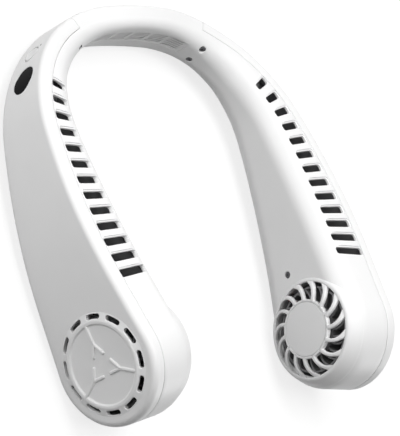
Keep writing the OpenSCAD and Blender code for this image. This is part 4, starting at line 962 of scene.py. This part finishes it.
bronze = shader("sintered_bronze", (0.45, 0.26, 0.13), 0.5, metallic=1.0, grain=4200, relief=5e-5, tint=0.25)
iron = shader("stack_iron", (0.16, 0.16, 0.17), 0.45, metallic=1.0, grain=3600, relief=3e-5, tint=0.25)
copper = shader("winding_copper", (0.6, 0.25, 0.1), 0.34, metallic=1.0, grain=3200, relief=6e-5, tint=0.2)
magnet = shader("bonded_magnet", (0.05, 0.05, 0.05), 0.6, grain=3600, relief=3e-5, tint=0.2)

FINISHES = {"white_shell": white, "white_button": button_white, "window_black": glass, "dark_plastic": dark,
            "light_pipe": pipe_clear, "board_green": board, "screw_steel": zinc, "socket_steel": steel,
            "cell_foil": foil, "lead_red": red, "brass": brass, "bronze": bronze, "stack_iron": iron,
            "winding_copper": copper, "rotor_steel": steel, "magnet": magnet, "shaft_steel": steel}
SLOT_OF = {row["node"]: row["material_slot"] for row in frame["record"]["subparts"]}
for name, obj in frame["nodes"].items():
    material = FINISHES[SLOT_OF[name]]
    for i in range(len(obj.material_slots)):
        obj.material_slots[i].material = material
    if not obj.material_slots:
        obj.data.materials.append(material)


# The pieces
def joined(name, *meshes):
    bm = bmesh.new()
    for me in meshes:
        bm.from_mesh(me)
    out = bpy.data.meshes.new(name)
    bm.to_mesh(out)
    bm.free()
    return out


def shape_of(*builders):
    shape = Shape()
    for build in builders:
        build(shape)
    return shape


def white_piece(name, me, replaced):
    make(name, me, white, "frame", "white_shell", replaced)


for_tray = shape_of(outlet_cutters, well_cutters, grille_cutter)
tray_cuts = joined("tray_cuts", for_tray.mesh("cut_right"), for_tray.mesh("cut_left", mirror=True),
                   shape_of(panel_cutter, port_cutter).mesh("cut_middle"))
white_piece("band_shell", cut(tray_shape().mesh("tray"), tray_cuts, "band_shell"), "main_frame")
white_piece("bridge_shell", finish_mesh(bridge_shape().mesh("bridge_shell")), "main_frame")

for_cover, for_controls = shape_of(intake_cutters), shape_of(control_cutters)
for side in ("left", "right"):
    flip = side == "left"
    cover = side + "_outer_cover"
    cutter = for_cover.mesh("cover_cuts_" + side, mirror=flip)
    if flip:
        cutter = joined("cover_cuts", cutter, for_controls.mesh("controls", mirror=True))
    lid = cut(cover_shape().mesh("cover_" + side, mirror=flip), cutter, side + "_cover_shell")
    white_piece(side + "_cover_shell", lid, cover)
    disc_cuts = for_cover.mesh("disc_cuts_" + side, mirror=flip)
    disc = cut(disc_shape().mesh("disc_" + side, mirror=flip), disc_cuts, side + "_pod_disc")
    white_piece(side + "_pod_disc", disc, cover)
    for name, shape, angle, replaced in (("_pod_marks", fork_shape(), 50, cover),
                                         ("_grille_ribs", rib_shape(), 40, "main_frame"),
                                         ("_grille_rim", rim_shape(), 40, "main_frame"),
                                         ("_hub_disc", cap_shape(), SHARP_ANGLE, side + "_hub_cap")):
        white_piece(side + name, finish_mesh(shape.mesh(side + name, mirror=flip), angle), replaced)

panel = cut(panel_shape().mesh("panel"), shape_of(louvre_cutters).mesh("louvres"), "louvre_panel")
white_piece("louvre_panel", panel, "neck_louvre_panel")
make("button_cap", finish_mesh(button_shape().mesh("button_cap")), button_white, "power_button",
     "white_button", "power_button")
make("window_lens", finish_mesh(window_shape().mesh("window_lens")), glass, "frame", "window_black",
     "display_window")

# Camera, solved from the photograph, whose frame is 400 by 436 pixels
PHOTO_H = 436
FOCAL_PX, CENTRE_SHIFT_X, CENTRE_SHIFT_Y = 2450.132, 17.446, -12.425
cam = bpy.data.objects.new("camera", bpy.data.cameras.new("camera"))
bpy.context.scene.collection.objects.link(cam)
cam.matrix_world = Matrix(((0.65672814, 0.04218236, -0.75294674, -0.79432935),
                           (-0.25899556, 0.95032112, -0.1726588, -0.18802455),
                           (0.70825804, 0.30839975, 0.63502767, 0.70818471),
                           (0.0, 0.0, 0.0, 1.0)))
cam.data.sensor_width = 36.0
cam.data.lens = FOCAL_PX * cam.data.sensor_width / PHOTO_H
cam.data.shift_x = -CENTRE_SHIFT_X / PHOTO_H
cam.data.shift_y = CENTRE_SHIFT_Y / PHOTO_H
cam.data.clip_start, cam.data.clip_end = 0.05, 20.0
bpy.context.scene.camera = cam


# Floor, world and lamps
def shown_rays(tree):
    """1 for the rays that show a background: camera, glossy and transmission rays."""
    path = node(tree, "LightPath")
    shown = path.outputs["Is Camera Ray"]
    for kind in ("Is Glossy Ray", "Is Transmission Ray"):
        larger = node(tree, "Math", operation="MAXIMUM")
        tree.links.new(shown, larger.inputs[0])
        tree.links.new(path.outputs[kind], larger.inputs[1])
        shown = larger.outputs[0]
    return shown


def shown_or_lit(tree, lit, shown, out):
    """Gives the output one shader for the rays that show a background, and the other for the rest."""
    mix = node(tree, "MixShader")
    tree.links.new(shown_rays(tree), mix.inputs[0])
    tree.links.new(lit.outputs[0], mix.inputs[1])
    tree.links.new(shown.outputs[0], mix.inputs[2])
    tree.links.new(mix.outputs[0], out.inputs[0])


FLOOR_HALF, FLOOR_Z = 1.6, -0.0004
floor_shape = Shape()
edges = (-FLOOR_HALF, 0.0, FLOOR_HALF)
floor_shape.grid(np.array([[(x, y, FLOOR_Z) for x in edges] for y in edges]))
floor = bpy.data.objects.new("floor", finish_mesh(floor_shape.mesh("floor")))
bpy.context.scene.collection.objects.link(floor)
paper = bpy.data.materials.new("paper")
nt = empty_tree(paper)
paint = node(nt, "BsdfDiffuse", {"Color": (0.28, 0.28, 0.28, 1.0)})
lift = node(nt, "Emission", {"Strength": 0.76})
both = node(nt, "AddShader")
nt.links.new(paint.outputs[0], both.inputs[0])
nt.links.new(lift.outputs[0], both.inputs[1])
shown_or_lit(nt, paint, both, node(nt, "OutputMaterial"))
floor.data.materials.append(paper)

# The world's light comes from the neck's side more than from the pods' side
world = bpy.data.worlds.new("studio")
bpy.context.scene.world = world
wt = empty_tree(world)
soft = node(wt, "Background", {"Color": (1.0, 1.0, 1.0, 1.0)})
bright = node(wt, "Background", {"Color": (1.0, 1.0, 1.0, 1.0)})
coord, split = node(wt, "TexCoord"), node(wt, "SeparateXYZ")
fade = node(wt, "MapRange", {"From Min": -0.5, "From Max": 0.6, "To Min": 0.02, "To Max": 0.4})
wt.links.new(coord.outputs["Generated"], split.inputs[0])
wt.links.new(split.outputs["Y"], fade.inputs["Value"])
wt.links.new(fade.outputs["Result"], soft.inputs["Strength"])
shown_or_lit(wt, soft, bright, node(wt, "OutputWorld"))


def lamp(name, place, aim, size_x, size_y, power):
    data = bpy.data.lights.new(name, "AREA")
    data.shape, data.size, data.size_y, data.energy = "RECTANGLE", size_x, size_y, power
    obj = bpy.data.objects.new(name, data)
    bpy.context.scene.collection.objects.link(obj)
    obj.location = place
    obj.rotation_mode = "QUATERNION"
    obj.rotation_quaternion = (Vector(aim) - Vector(place)).to_track_quat("-Z", "Y")


lamp("top_softbox", (0.0, 0.06, 0.8), (0.0, 0.0, 0.0), 0.5, 0.9, 6.2)
lamp("side_softbox", (-0.68, 0.36, 0.36), (0.0, 0.0, 0.02), 0.6, 0.4, 3.3)
lamp("front_softbox", (0.6, -0.6, 0.1), (0.0, -0.02, 0.03), 0.4, 0.25, 1.6)

bpy.context.scene.view_settings.view_transform = "Standard"
